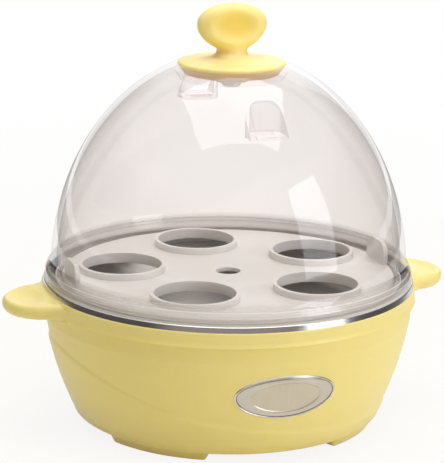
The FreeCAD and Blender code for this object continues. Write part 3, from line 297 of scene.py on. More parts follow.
def body_skin():
    """The body's closed skin, row by row from the bottom rim up the outside and down the inside.

    A row is a circle of its own radius and height.  Below the wave, a cubic curve with the control
    points WAVE_X and WAVE_Z, it stands out by the skirt; on a handle it slides out to the plan
    outline; on a foot it drops to the table.  Counts only set how fine the grid is, and lengths
    without a name only keep rows apart.
    """
    corner = np.radians(np.linspace(15, 75, 5))
    side_z = np.linspace(FOOT_HEIGHT + CORNER_R, SHOULDER_Z, 60)
    chamfer_z = np.linspace(BAND_LOW_Z - BAND_CHAMFER, BAND_LOW_Z, 4)
    under_z = np.linspace(HANDLE_LOW_Z, chamfer_z[0] - 0.1, 7)
    top_z = np.linspace(BODY_TOP - TOP_STRIP, BODY_TOP - TOP_ROUND - 0.05, 14)
    nose_z = np.concatenate([chamfer_z, np.linspace(chamfer_z[-1] + 0.3, top_z[0] - 0.1, 11)])
    nose = np.radians(np.linspace(-90, 90, len(nose_z)))
    nose_level = HANDLE_LOW_Z + 0.5 * HANDLE_THICK + 0.5 * HANDLE_THICK * np.sin(nose)
    nose_top = np.maximum(np.sin(nose), 0) ** 2
    handle_top = HANDLE_LOW_Z + HANDLE_THICK
    slide_out = np.linspace(0, 1, len(under_z))
    slide_in = np.linspace(1, 0, len(top_z))
    edge = np.radians(np.linspace(15, 90, 5))
    edge_z = BODY_TOP - TOP_ROUND * (1 - np.sin(edge))
    inner_z = np.linspace(SHOULDER_Z, RIM_TOP_Z, 14)

    def band(z):
        """Radius of the band: out to a lip at its lower edge, then a little in and straight up."""
        marks = [BAND_LOW_Z - BAND_CHAMFER, BAND_LOW_Z, BAND_LOW_Z + BAND_LIP_HEIGHT, BODY_TOP]
        return np.interp(z, marks, [SHOULDER_R, BAND_R, BAND_TOP_R, BAND_TOP_R])

    foot_r = BASE_R - CORNER_R
    rows = np.concatenate([
        body_rows(np.linspace(RIM_IN_R, foot_r - FOOT_LEAN, 4), FOOT_HEIGHT, drop=FOOT_HEIGHT),
        body_rows(np.array([foot_r]), FOOT_HEIGHT, skirt=1.0),
        body_rows(foot_r + CORNER_R * np.sin(corner), side_z[0] - CORNER_R * np.cos(corner), skirt=1.0),
        body_rows(side_radius(side_z), side_z, skirt=1.0),
        body_rows(SHOULDER_R, np.linspace(SHOULDER_Z + 0.7, HANDLE_LOW_Z - 0.4, 4)),
        body_rows(band(under_z), under_z, handle=1.0, share=slide_out, level=HANDLE_LOW_Z),
        body_rows(band(nose_z), nose_z, handle=1.0, share=1.0, swell=np.cos(nose), level=nose_level,
                  top=nose_top),
        body_rows(band(top_z), top_z, handle=1.0, share=slide_in, level=handle_top, top=1.0),
        body_rows(BAND_TOP_R - TOP_ROUND * (1 - np.cos(edge)), edge_z, level=np.maximum(edge_z, handle_top)),
        body_rows(np.linspace(BAND_TOP_R - 1.2, SHOULDER_R - WALL, 3), BODY_TOP),
        body_rows(SHOULDER_R - WALL, np.linspace(BODY_TOP - 1, SHOULDER_Z + 2, 4)),
        body_rows(side_radius(inner_z) - WALL, inner_z),
        body_rows(np.linspace(side_radius(RIM_TOP_Z) - WALL - 2, RIM_IN_R, 3), RIM_TOP_Z),
        body_rows(RIM_IN_R, np.array([0.5 * (RIM_TOP_Z + FOOT_HEIGHT)])),
    ])
    r, z, handle, share, swell, level, drop, skirt, top = rows.T[:, :, None]

    # Columns stand evenly along the plan outline, which is measured at finer angles.
    fine = np.linspace(-np.pi, np.pi, 7201)
    fine_reach = handle_reach(fine)
    steps = np.hypot(np.diff(fine_reach), fine_reach[1:] * np.diff(fine))
    walked = np.concatenate([[0], np.cumsum(steps)])
    turn = np.interp(np.linspace(0, walked[-1], BODY_COLUMNS, endpoint=False), walked, fine)
    ray = np.stack([np.cos(turn), np.sin(turn)])
    outline = handle_reach(turn) * ray
    ahead = np.roll(outline, -1, 1) - np.roll(outline, 1, 1)
    out = np.stack([ahead[1], -ahead[0]]) / np.hypot(ahead[0], ahead[1])
    reach = handle_reach(turn) - BAND_R
    round_off = np.minimum(HANDLE_EDGE, reach)
    formed = smooth_step(0, HANDLE_FORM, reach)

    start = r + handle * formed * (BAND_R - r)
    slide = outline - out * round_off - BAND_R * ray
    x, y = [start * ray[k] + share * slide[k] + swell * out[k] * round_off for k in (0, 1)]
    z = z + (level - z) * formed
    dish_x = 0.5 * (HANDLE_TIP_X + BAND_R)
    away = ((np.abs(x) - dish_x) / HANDLE_DISH_SPAN[0]) ** 2 + (y / HANDLE_DISH_SPAN[1]) ** 2
    z = z - HANDLE_DISH * top * smooth_step(0, 1, 1 - away)

    t = np.linspace(0, 1, 200)
    weights = np.stack([(1 - t) ** 3, 3 * t * (1 - t) ** 2, 3 * t ** 2 * (1 - t), t ** 3])
    wave_x = np.array(WAVE_X) @ weights
    wave_z = np.array(WAVE_Z) @ weights
    below_wave = np.interp(x, wave_x[::-1], wave_z[::-1]) - z
    proud = skirt * SKIRT_PROUD * smooth_step(-SKIRT_SOFT, SKIRT_SOFT, below_wave)
    x = x + proud * ray[0]
    y = y + proud * ray[1]
    from_end = np.abs(np.degrees(np.abs(turn)) - 90)
    foot = smooth_step(FOOT_START - FOOT_SLANT, FOOT_START + FOOT_SLANT, from_end)
    foot = foot * smooth_step(FOOT_END + FOOT_SLANT, FOOT_END - FOOT_SLANT, from_end)
    return np.stack([x, y, z - drop * foot], -1)


button_place = np.array([0.0, -side_radius(BUTTON_Z), BUTTON_Z])
button_out = np.array([0.0, side_fit[0] - side_radius(BUTTON_Z), BUTTON_Z - side_fit[1]]) / side_bend
button_up = np.array([0.0, button_out[2], -button_out[1]])


def at_button(along, up, out):
    """Points measured from the button's middle: level along, up the slope and out of the side."""
    along, up, out = np.broadcast_arrays(along, up, out)
    level = along[..., None] * np.array([1.0, 0.0, 0.0])
    return button_place + level + up[..., None] * button_up + out[..., None] * button_out


def round_turn(count):
    """Angles evenly round a full turn, leaving out the last, which is the first again."""
    return np.linspace(0, 2 * np.pi, count, endpoint=False)


def closed_rod(rings):
    """Ring points with a pole row before and after, so that the ends are shut."""
    poles = [np.broadcast_to(ring.mean(0), ring.shape)[None] for ring in (rings[0], rings[-1])]
    return np.concatenate([poles[0], rings, poles[1]])


hole_turn = round_turn(HOLE_COLUMNS)
hole_along = np.cos(hole_turn)
hole_up = np.sin(hole_turn)
button_ends = np.array(BUTTON_CUT_OUT)[:, None]
button_tool = at_button(BUTTON_HOLE_HALF[0] * hole_along, BUTTON_HOLE_HALF[1] * hole_up, button_ends)
gland_ends = np.array(GLAND_CUT_Y)[:, None]
gland_z = GLAND_HOLE_Z + GLAND_HOLE_R * hole_up
gland_tool = np.stack(np.broadcast_arrays(GLAND_HOLE_R * hole_along, gland_ends, gland_z), -1)
base_body = new_piece("base_body", skin_mesh("base_body", body_skin(), loop_rows=True))
tools = [new_piece("tool", skin_mesh("tool", closed_rod(rings))) for rings in (button_tool, gland_tool)]
cut_through(base_body, tools)


def yellow_moulding(place, deep, pale, painted_share, painted_tone, cloudy, depth):
    """Glossy yellow plastic whose tones drift where the melt flowed, under a fine grain.

    The painted share, from 0 to 1, takes on its own tone: painted shade or glow over the plastic.
    Cloudy is the share of light that goes into the plastic, and the depth is how far red light wanders
    inside, in millimetres.
    """
    drift = place.noise(24, detail=3)
    flow = place.noise(60, stretch=(1, 1, 0.2))
    grain = place.noise(1400, detail=1)
    pigment = place.mix(drift * 0.7 + flow * 0.3, deep, pale)
    set_surface(place, {
        "Base Color": place.mix(painted_share, pigment, painted_tone),
        "Roughness": 0.33 + 0.10 * drift + 0.06 * grain,
        "Normal": place.bump(grain + 0.6 * flow, strength=0.10, depth=0.12),
        "Subsurface Weight": cloudy,
        "Subsurface Radius": (1.0, 0.8, 0.2),
        "Subsurface Scale": depth * MM,
    })


yellow_plastic, place = new_finish("yellow_plastic")
# Painted shade: near the table the body turns a deeper yellow in patches.
low_shade = place.millimetres().along("Z").rise(LOW_SHADE_TOP, 0.0) * place.noise(160, detail=4)
yellow_moulding(place, PIGMENT_DEEP, PIGMENT_PALE, low_shade * 0.9, PIGMENT_SHADED, cloudy=0.36, depth=1.0)
base_body.data.materials.append(yellow_plastic)
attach(base_body, "base")
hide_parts("base_shell")


# Steaming dish: one deep-drawn sheet of stainless steel whose polished rim laps over the body's top
# edge, on a pale silicone seal.  Polishing leaves fine rings all round it.
STEEL_BRIGHT = (0.66, 0.65, 0.635, 1)
STEEL_DULL = (0.50, 0.49, 0.475, 1)
# The steel turns duller from the first height down to the second.
DISH_INSIDE_Z = (54.5, 50.0)
SILICONE_DIM = (0.74, 0.74, 0.72, 1)
SILICONE_BRIGHT = (0.82, 0.82, 0.80, 1)


def dress(finish, *names):
    """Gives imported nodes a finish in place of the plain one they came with."""
    for name in names:
        nodes[name].material_slots[0].material = finish


def polish_rings(place, pitch):
    """Noise that changes only with the distance from the axis plus the height: rings all round."""
    walked = place.from_axis() + place.along("Z")
    inputs = {"W": walked * pitch, "Scale": 1.0, "Detail": 3.0}
    return place.node("TexNoise", {"noise_dimensions": "1D"}, inputs)


rim_steel, place = new_finish("rim_steel")
rings = polish_rings(place, pitch=5200)
stain = place.noise(70, detail=4)
inside = place.millimetres().along("Z").rise(*DISH_INSIDE_Z)
set_surface(place, {
    "Base Color": place.mix(0.5 * rings + 0.5 * stain * inside, STEEL_BRIGHT, STEEL_DULL),
    "Metallic": 1.0,
    "Roughness": 0.10 + 0.10 * rings + 0.16 * inside + 0.08 * stain,
    "Normal": place.bump(rings, strength=0.06, depth=0.05),
})
dress(rim_steel, "heating_plate")


def soft_rubber(name, dark, light, grit):
    """A matt rubber: slow drift between two tones, and a fine tooth in the surface."""
    finish, place = new_finish(name)
    tone = place.noise(120, detail=3)
    tooth = place.noise(grit)
    set_surface(place, {
        "Base Color": place.mix(tone, dark, light),
        "Roughness": 0.62 + 0.16 * tooth,
        "Normal": place.bump(tooth, strength=0.25, depth=0.1),
    })
    return finish


dress(soft_rubber("silicone", SILICONE_DIM, SILICONE_BRIGHT, grit=1800), "plate_seal", "knob_washer")


# Heater: a cast aluminium disc under the dish with a sheathed element laid in its rib, a disc
# thermostat and a thermal fuse under spring clips, and a galvanised shield drawn up by three studs.
# All the screws, studs and nuts of the cooker are zinc-plated steel.
SCREWS_AND_NUTS = ["clip_screws", "plate_studs", "stud_nuts", "holder_screws", "bottom_screws",
                   "block_screw", "knob_screw"]
# Each metal's darkest and lightest tone, roughness, lumps and scratches per metre, and its nodes.
METALS = {
    "cast_aluminium": ((0.56, 0.56, 0.57, 1), (0.72, 0.72, 0.73, 1), 0.42, 500, 900, ["heat_spreader"]),
    "element_steel": ((0.34, 0.31, 0.28, 1), (0.56, 0.54, 0.52, 1), 0.40, 130, 1500, ["heating_element"]),
    "thermostat_steel": ((0.54, 0.54, 0.54, 1), (0.66, 0.66, 0.66, 1), 0.28, 300, 2400, ["thermostat"]),
    "spring_steel": ((0.50, 0.50, 0.53, 1), (0.62, 0.62, 0.64, 1), 0.22, 260, 3000,
                     ["thermostat_clip", "fuse_clip"]),
    "fuse_can": ((0.68, 0.68, 0.69, 1), (0.78, 0.78, 0.79, 1), 0.24, 400, 3000, ["thermal_fuse"]),
    "shield_steel": ((0.52, 0.54, 0.56, 1), (0.74, 0.75, 0.76, 1), 0.36, 90, 700, ["heat_shield"]),
    "zinc_steel": ((0.60, 0.60, 0.63, 1), (0.74, 0.73, 0.70, 1), 0.25, 420, 2600, SCREWS_AND_NUTS),
}


def bare_metal(name, dark, light, rough, lump, scratch):
    """A bare metal: tones that drift in lumps, and fine drawn lines in its roughness and relief."""
    finish, place = new_finish(name)
    tone = place.noise(lump, detail=4)
    lines = place.noise(scratch, stretch=(1, 0.06, 1))
    set_surface(place, {
        "Base Color": place.mix(tone, dark, light),
        "Metallic": 1.0,
        "Roughness": rough + 0.14 * lines + 0.08 * tone,
        "Normal": place.bump(lines + tone, strength=0.12, depth=0.08),
    })
    return finish


for metal, (dark, light, rough, lump, scratch, wearers) in METALS.items():
    dress(bare_metal(metal, dark, light, rough, lump, scratch), *wearers)


# Button frame: a thin plated ring pressed into the oval hole.  Its bright lip follows the curve of
# the body's side and its sleeve guides the button.
BEZEL_HALF = (20.2, 9.5)
# Corners of the ring's section, as distance past the oval and out of the side, and their softening.
BEZEL_SECTION = np.array([(0.0, -0.35), (0.0, 0.1), (-0.25, 0.36), (-0.52, 0.36), (-0.76, 0.15),
                          (-0.76, -5.0), (-0.64, -5.0), (-0.64, -0.35)])
BEZEL_SOFT = np.array([0.05, 0.15, 0.12, 0.12, 0.12, 0.04, 0.04, 0.05])
BEZEL_COLUMNS = 180
SIDE_CORRECTIONS = 8
CHROME_DIM = (0.60, 0.565, 0.50, 1)
CHROME_BRIGHT = (0.72, 0.69, 0.63, 1)


def softened(corners, reach, steps=6):
    """A closed outline whose corners become parabolas that leave each side at the reach given."""
    before = np.roll(corners, 1, 0) - corners
    after = np.roll(corners, -1, 0) - corners
    start = corners + before / np.hypot(*before.T)[:, None] * reach[:, None]
    end = corners + after / np.hypot(*after.T)[:, None] * reach[:, None]
    t = np.linspace(0, 1, steps)[None, :, None]
    curve = (1 - t) ** 2 * start[:, None] + 2 * t * (1 - t) * corners[:, None] + t ** 2 * end[:, None]
    return curve.reshape(-1, 2)


def on_side(along, up, proud):
    """Points of the body's side under (along, up), moved out by proud.

    The distance out is corrected a few times by how far the point misses the side's radius.
    """
    out = np.zeros(np.broadcast(along, up).shape)
    for correction in range(SIDE_CORRECTIONS):
        point = at_button(along, up, out)
        out = out - np.hypot(point[..., 0], point[..., 1]) + side_radius(point[..., 2])
    return at_button(along, up, out + proud)


bezel_turn = round_turn(BEZEL_COLUMNS)
section = softened(BEZEL_SECTION, BEZEL_SOFT)
bezel_along = (BEZEL_HALF[0] + section[:, :1]) * np.cos(bezel_turn)
bezel_up = (BEZEL_HALF[1] + section[:, :1]) * np.sin(bezel_turn)
bezel_points = on_side(bezel_along, bezel_up, section[:, 1:])
bezel_ring = new_piece("bezel_ring", skin_mesh("bezel_ring", bezel_points, loop_rows=True, crease=50))
bezel_chrome, place = new_finish("bezel_chrome")
haze = place.noise(260, detail=3)
set_surface(place, {
    "Base Color": place.mix(haze, CHROME_DIM, CHROME_BRIGHT),
    "Metallic": 1.0,
    "Roughness": 0.13 + 0.10 * haze,
    "Normal": place.bump(place.noise(900), strength=0.03, depth=0.05),
})
bezel_ring.data.materials.append(bezel_chrome)
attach(bezel_ring, "base")
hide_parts("button_bezel")


# Power button: an oval moulded cap with a satin silver coat, brushed upright.  Its margin rolls off
# to the frame and steps down to a shallow oval pan; a black plunger behind it works the switch.
PAN_HALF = (14.0, 6.0)
CAP_ROWS = 121
CAP_COLUMNS = 160
# Half length, half height and distance out, from the middle of the back to the middle of the pan.
CAP_SECTION = np.array([
    (0.0, 0.0, -4.2), (5.0, 2.1, -4.2), (18.6, 7.9, -1.9), (19.3, 8.6, -1.4),
    (19.3, 8.6, 0.0), (19.15, 8.45, 0.14), (18.8, 8.1, 0.28), (18.2, 7.65, 0.42),
    (17.3, 7.2, 0.5), (15.8, 6.85, 0.52), (14.4, 6.5, 0.45), (14.1, 6.35, 0.36),
    (13.7, 6.05, 0.08), (13.2, 5.75, 0.0), (7.0, 3.0, 0.0), (0.0, 0.0, 0.0),
])
SATIN_DIM = (0.52, 0.455, 0.345, 1)
SATIN_BRIGHT = (0.67, 0.59, 0.46, 1)
POLISH_DIM = (0.53, 0.48, 0.395, 1)
POLISH_BRIGHT = (0.64, 0.585, 0.49, 1)
BLACK_DIM = (0.045, 0.045, 0.046, 1)
BLACK_BRIGHT = (0.075, 0.074, 0.072, 1)
WHITE_DIM = (0.80, 0.80, 0.77, 1)
WHITE_BRIGHT = (0.88, 0.88, 0.86, 1)
LAMP_DEEP = (0.60, 0.05, 0.03, 1)
LAMP_BRIGHT = (0.80, 0.13, 0.08, 1)

cap_step = np.linspace(0, 1, CAP_ROWS)[:, None]
cap_marks = np.linspace(0, 1, len(CAP_SECTION))
cap_long, cap_tall, cap_out = [np.interp(cap_step, cap_marks, mark) for mark in CAP_SECTION.T]
cap_turn = round_turn(CAP_COLUMNS)
cap_points = on_side(cap_long * np.cos(cap_turn), cap_tall * np.sin(cap_turn), cap_out)
button_cap = new_piece("button_cap", skin_mesh("button_cap", cap_points, crease=40))
button_silver, place = new_finish("button_silver")
streak = place.noise(1500, detail=3, stretch=(1, 0.05, 0.04))
blush = place.noise(90)
from_middle = place.millimetres().vector("SUBTRACT", (0, 0, BUTTON_Z))
pan_share = (1 / PAN_HALF[0], 0.0, 1 / PAN_HALF[1])
margin = from_middle.vector("MULTIPLY", pan_share).length().rise(0.98, 1.02)
satin = place.mix(0.5 * streak + 0.5 * blush, SATIN_DIM, SATIN_BRIGHT)
polish = place.mix(blush, POLISH_DIM, POLISH_BRIGHT)
set_surface(place, {
    "Base Color": place.mix(margin, satin, polish),
    "Metallic": 0.85,
    "Roughness": 0.26 + 0.12 * streak - 0.12 * margin,
    "Normal": place.bump(streak, strength=0.06, depth=0.06),
})
button_cap.data.materials.append(button_silver)
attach(button_cap, "button")
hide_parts("power_button")


def moulded(name, dark, light, rough, grit):
    """A textured moulding: two near tones in drifting clouds, and a fine spark-eroded tooth."""
    finish, place = new_finish(name)
    cloud = place.noise(45, detail=3)
    tooth = place.noise(grit)
    set_surface(place, {
        "Base Color": place.mix(cloud, dark, light),
        "Roughness": rough + 0.14 * tooth + 0.06 * cloud,
        "Normal": place.bump(tooth, strength=0.22, depth=0.12),
    })
    return finish


black_plastic = moulded("black_plastic", BLACK_DIM, BLACK_BRIGHT, rough=0.48, grit=1600)
white_plastic = moulded("white_plastic", WHITE_DIM, WHITE_BRIGHT, rough=0.40, grit=1300)
dress(black_plastic, "switch_plunger", "power_switch")
dress(white_plastic, "switch_holder")
lamp_red, place = new_finish("lamp_red")
glow = place.noise(400)
set_surface(place, {
    "Base Color": place.mix(glow, LAMP_DEEP, LAMP_BRIGHT),
    "Roughness": 0.14 + 0.10 * glow,
    "Transmission Weight": 0.35,
})
dress(lamp_red, "indicator_lamp")


# Underside: a black ribless cover with cooling slots, held by four screws in the body's bosses.  It
# carries the white terminal block, and a grey rubber gland lines the cord's way in at the back.
RUBBER_DIM = (0.27, 0.27, 0.28, 1)
RUBBER_BRIGHT = (0.36, 0.36, 0.37, 1)
dress(black_plastic, "bottom_cover")
dress(white_plastic, "terminal_block")
dress(soft_rubber("grey_rubber", RUBBER_DIM, RUBBER_BRIGHT, grit=1500), "cord_gland")


# Tray: a lift-out moulding in frosted, slightly cloudy plastic with a collar round each cup hole and
# two finger tabs.  It stands on the dish's ledge, inside the lid's spigot.
FROSTED_DIM = (0.78, 0.775, 0.765, 1)
FROSTED_BRIGHT = (0.88, 0.875, 0.865, 1)
FROSTED_DEPTH = 4.0
frosted_plastic, place = new_finish("frosted_plastic")
cloud = place.noise(55, detail=3)
frost = place.noise(1700)
set_surface(place, {
    "Base Color": place.mix(cloud, FROSTED_DIM, FROSTED_BRIGHT),
    "Roughness": 0.40 + 0.15 * frost,
    "Normal": place.bump(frost, strength=0.15, depth=0.1),
    "Subsurface Weight": 0.3,
    "Subsurface Radius": (1.0, 0.95, 0.9),
    "Subsurface Scale": FROSTED_DEPTH * MM,
})
dress(frosted_plastic, "egg_tray")


# Lid: a moulded dome of clear plastic with a faint smoky tone, an S-curved flange that rests on the
# steel rim, two vent pockets and a recess for the knob.  Its wall is too thin to bend the view much,
# so light goes straight through, darker where it crosses the wall aslant.  The thick flange is milky,
# partly as painted light caught inside it, with painted bright lines at its folds, and painted dark
# lines mark the vent pockets' edges.
CLEAR_TINT = (0.982, 0.967, 0.961, 1)
SMOKY_TINT = (0.865, 0.845, 0.835, 1)
EDGE_TINT = (0.80, 0.78, 0.77, 1)
MILK_DIM = (0.78, 0.73, 0.71, 1)
MILK_BRIGHT = (0.86, 0.82, 0.80, 1)
# A pair says where a change starts and where it is complete.
EDGE_ON = (0.45, 0.85)
RECESS_Z = (134.0, 140.0)
RECESS_CLEAR = 0.8
DOME_R = 71.7
DOME_RISE = 88.8
DOME_MIDDLE_Z = 60.0
VENT_HALF = 6.2
VENT_BACK = 37.0
VENT_FLOOR_Z = 124.5
VENT_CORNER = 4.0
VENT_FROM_MIDDLE = 75.0
# Half width and darkness of the painted dark lines at the vent pockets' edges.
VENT_LINE = 0.5
VENT_LINE_SHADE = 0.8
FLANGE_MILK_Z = (66.5, 62.0)
FLANGE_SIDE_R = (71.2, 71.6)
# Heights of the painted bright lines at the flange's folds, and their half width.
FLANGE_FOLDS_Z = (58.8, 61.3, 63.1)
FOLD_WIDE = 0.4
FLANGE_FOOT_Z = (58.5, 58.3)
clear_plastic, place = new_finish("clear_plastic")
spot = place.millimetres()
height = spot.along("Z")
haze = place.noise(30, detail=3)
rub = place.noise(420, detail=3, stretch=(1, 1, 0.08))
aslant = place.node("LayerWeight", {}, {"Blend": 0.2}, "Facing")
edge_on = aslant.rise(*EDGE_ON)
off_recess = 1.0 - RECESS_CLEAR * height.rise(*RECESS_Z)
through = place.node("BsdfTransparent", {}, {"Color": CLEAR_TINT})
smoky = place.node("BsdfTransparent", {}, {"Color": SMOKY_TINT})
dark_edge = place.node("BsdfTransparent", {}, {"Color": EDGE_TINT})
thin_wall = place.blend(aslant * off_recess, through, smoky)


def near(value, target, wide):
    """1 where value is at the target, falling to 0 within the distance wide on both sides."""
    return value.rise(target - wide, target) * value.rise(target + wide, target)


# A vent pocket's moulded edges are marked with fine painted dark lines, standing in for light bent where
# two of its faces meet: its side, its floor and the dome's skin.  The side is the rounded box of the
# pocket's plan.
across = place.sum("ABSOLUTE", spot.along("X"), 0) - (VENT_HALF - VENT_CORNER)
inward = (VENT_BACK + VENT_CORNER) - place.sum("ABSOLUTE", spot.along("Y"), 0)
corner_x = place.sum("MAXIMUM", across, 0)
corner_y = place.sum("MAXIMUM", inward, 0)
beyond = place.sum("SQRT", corner_x * corner_x + corner_y * corner_y, 0)
within = place.sum("MINIMUM", place.sum("MAXIMUM", across, inward), 0)
at_side = near(beyond + within, VENT_CORNER, VENT_LINE)
at_floor = near(height, VENT_FLOOR_Z, VENT_LINE)
dome_share = (1 / DOME_R, 1 / DOME_R, 1 / DOME_RISE)
skin = spot.vector("SUBTRACT", (0, 0, DOME_MIDDLE_Z)).vector("MULTIPLY", dome_share).length()
at_skin = near(skin, 1.0, VENT_LINE / VENT_FROM_MIDDLE)
above_floor = height.rise(VENT_FLOOR_Z - 2 * VENT_LINE, VENT_FLOOR_Z - VENT_LINE)
in_plan = within.rise(0.0, -0.1)
meeting = at_side * at_floor + at_side * at_skin * above_floor + at_floor * at_skin * in_plan
vent_edge_shade = place.sum("MINIMUM", meeting, 1.0)
darkness = place.sum("MAXIMUM", edge_on * off_recess, VENT_LINE_SHADE * vent_edge_shade)
clear_wall = place.blend(darkness, thin_wall, dark_edge)

# The flange is thick enough to look milky, partly as painted light caught inside it, with painted
# bright lines at the folds on its outside, and a frosted foot.
outside = spot.from_axis().rise(*FLANGE_SIDE_R)
fold_highlights = sum(near(height, fold_z, FOLD_WIDE) for fold_z in FLANGE_FOLDS_Z)
milkiness = 0.45 * height.rise(*FLANGE_MILK_Z) + 0.4 * fold_highlights * outside + height.rise(*FLANGE_FOOT_Z)
milk = place.node("BsdfPrincipled", {}, {
    "Base Color": place.mix(haze, MILK_DIM, MILK_BRIGHT),
    "Roughness": 0.3,
})
wall = place.blend(place.sum("MINIMUM", milkiness, 1.0), clear_wall, milk)
gloss = place.node("BsdfGlossy", {}, {
    "Color": (1, 1, 1, 1),
    "Roughness": 0.03 + 0.10 * haze * rub,
    "Normal": place.bump(haze, strength=0.02, depth=0.2),
})
front = 1.0 - place.node("NewGeometry", {}, {}, "Backfacing")
mirrored = place.node("Fresnel", {}, {"IOR": 1.49})
pane = place.blend(mirrored * front * (1.0 - 0.75 * edge_on), wall, gloss)
place.node("OutputMaterial", {}, {"Surface": pane})
dress(clear_plastic, "lid_dome")


# Knob: a solid moulding in the body's yellow plastic, screwed down through the top of the dome.  A
# broad flange on a cone carries a slim neck and an upright oval paddle; the cone is painted browner as
# shade under the flange.  The paddle is dished on both faces for the fingers.  Its thin middle is
# painted a deeper yellow as glowing light through thin plastic, and the neck under it the same as shade.
KNOB_SEAT_Z = 140.5
KNOB_NECK = 6.0
KNOB_NECK_Z = 9.2
PADDLE_WIDE = 14.4
PADDLE_THICK = 5.0
PADDLE_WIDE_Z = 19.8
PADDLE_DROP = 10.3
PADDLE_RISE = 8.0
FINGER_DISH = 2.3
FINGER_DISH_SPAN = (11.2, 6.9)
FINGER_DISH_Z = 18.8
FLANGE_R = np.array([0.0, 18.4, 18.8, 21.2, 21.45, 21.5, 21.25, 20.6, 17.0, 13.0, 9.8])
FLANGE_Z = np.array([0.0, 0.0, 0.15, 3.65, 3.95, 4.2, 4.6, 4.9, 5.3, 5.8, 6.3])
KNOB_COLUMNS = 160
KNOB_DEEP = (0.930, 0.735, 0.280, 1)
KNOB_PALE = (0.950, 0.775, 0.345, 1)
# A deeper yellow painted as glow and golden shade, and a browner tone painted as shade on the cone.
KNOB_PAINTED_GLOW = (0.980, 0.725, 0.130, 1)
KNOB_CONE_SHADE = (0.660, 0.500, 0.370, 1)
# Spans and heights of the painted glow and shade, from the dish's middle and from the seat.
GLOW_SPAN = (13.0, 14.0, 9.0)
NECK_SHADE_LOW_Z = (10.0, 11.3)
NECK_SHADE_HIGH_Z = (14.5, 12.3)
CONE_TOP_Z = (3.7, 3.1)


def knob_skin():
    """The knob as stacked ovals: flange rings, a quarter-round flare to the neck, then the paddle.

    Below its widest line the paddle's half width is the fourth-power mean of an ellipse and of the
    neck; above it, it closes as a quarter ellipse.  The dish takes a smooth hollow off both faces.
    """
    flare = np.radians(np.linspace(0, 90, 10))[1:]
    foot_r = FLANGE_R[-1]
    foot_z = FLANGE_Z[-1]
    flare_r = foot_r - (foot_r - KNOB_NECK) * np.sin(flare)
    flare_z = KNOB_NECK_Z - (KNOB_NECK_Z - foot_z) * np.cos(flare)
    rise = np.linspace(0, 1, 24)[1:]
    lower_z = KNOB_NECK_Z + rise * (PADDLE_WIDE_Z - KNOB_NECK_Z)
    bulge = PADDLE_WIDE * np.sqrt(np.maximum(1 - ((PADDLE_WIDE_Z - lower_z) / PADDLE_DROP) ** 2, 0))
    lower_wide = (bulge ** 4 + (KNOB_NECK * (1 - rise ** 2)) ** 4) ** 0.25
    lower_thick = KNOB_NECK + (PADDLE_THICK - KNOB_NECK) * smooth_step(0, 1, rise)
    over = np.radians(np.linspace(0, 90, 20))[1:]
    wide = np.concatenate([FLANGE_R, flare_r, lower_wide, PADDLE_WIDE * np.cos(over)])[:, None]
    thick = np.concatenate([FLANGE_R, flare_r, lower_thick, PADDLE_THICK * np.cos(over) ** 0.9])[:, None]
    z = np.concatenate([FLANGE_Z, flare_z, lower_z, PADDLE_WIDE_Z + PADDLE_RISE * np.sin(over)])[:, None]
    turn = round_turn(KNOB_COLUMNS)
    x = wide * np.cos(turn)
    y = thick * np.sin(turn)
    hollow = (x / FINGER_DISH_SPAN[0]) ** 2 + ((z - FINGER_DISH_Z) / FINGER_DISH_SPAN[1]) ** 2
    y = y - FINGER_DISH * np.sin(turn) * smooth_step(0, 1, 1 - hollow)
    return np.stack([x, y, z + KNOB_SEAT_Z + 0 * x], -1)


knob = new_piece("knob", skin_mesh("knob", knob_skin(), crease=60))
knob_plastic, place = new_finish("knob_plastic")
from_seat = place.millimetres().vector("SUBTRACT", (0, 0, KNOB_SEAT_Z))
from_dish = from_seat.vector("SUBTRACT", (0, 0, FINGER_DISH_Z))
# Painted glow in the thin middle, painted shade under the paddle and on the cone.
thin_glow = from_dish.vector("MULTIPLY", tuple(1 / span for span in GLOW_SPAN)).length().rise(1.0, 0.3)
height = from_seat.along("Z")
under_paddle_shade = height.rise(*NECK_SHADE_LOW_Z) * height.rise(*NECK_SHADE_HIGH_Z)
cone_shade = height.rise(*CONE_TOP_Z)
glow = place.sum("MAXIMUM", thin_glow, 0.6 * under_paddle_shade) * 0.85
painted_share = place.sum("MAXIMUM", glow, 0.8 * cone_shade)
painted_tone = place.mix(cone_shade, KNOB_PAINTED_GLOW, KNOB_CONE_SHADE)
yellow_moulding(place, KNOB_DEEP, KNOB_PALE, painted_share, painted_tone, cloudy=0.72, depth=9.0)
knob.data.materials.append(knob_plastic)
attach(knob, "lid")
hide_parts("lid_knob")


# Studio, in metres: a pale floor and a white surround, with soft lamps overhead, at the right and
# weakly behind.  Walls and a low dark card show only in the gloss of the part: white straight behind
# it and above, and elsewhere a warm room, grey behind the camera and dark at its sides.
FLOOR_RINGS = (0.0, 0.3, 0.8, 2.0, 6.0)
FLOOR_COLUMNS = 96
FLOOR_Z = -0.0002
FLOOR_PAINT = (0.80, 0.77, 0.62, 1)
FLOOR_FADE = (0.15, 0.7)
FILL = 0.42
FILL_TINT = (1.0, 0.955, 0.85, 1)
ROOM_TINT = (1.0, 0.90, 0.83, 1)
ROOM_GREY = 0.40
ROOM_DARK = 0.10
ROOM_FRONT = (1.2, 1.65)
ROOM_BACK = (-1.76, -1.5)
ROOM_TOP = (1.5, 0.6)
TO_CAMERA = (-0.3235, -0.9462, 0.0)
LAMP_AIM = (0, 0, 0.08)


def seen(tree):
    """1 for rays that show the background: straight, mirrored or through glass, not scattered."""
    path = tree.nodes.new("ShaderNodeLightPath")
    kinds = ("Is Camera Ray", "Is Glossy Ray", "Is Transmission Ray")
    straight, mirrored, through = [Socket(tree, path.outputs[kind]) for kind in kinds]
    some = straight.sum("MAXIMUM", straight, straight.sum("MAXIMUM", mirrored, through))
    scattered = Socket(tree, path.outputs["Diffuse Depth"])
    return some * scattered.sum("LESS_THAN", scattered, 0.5)


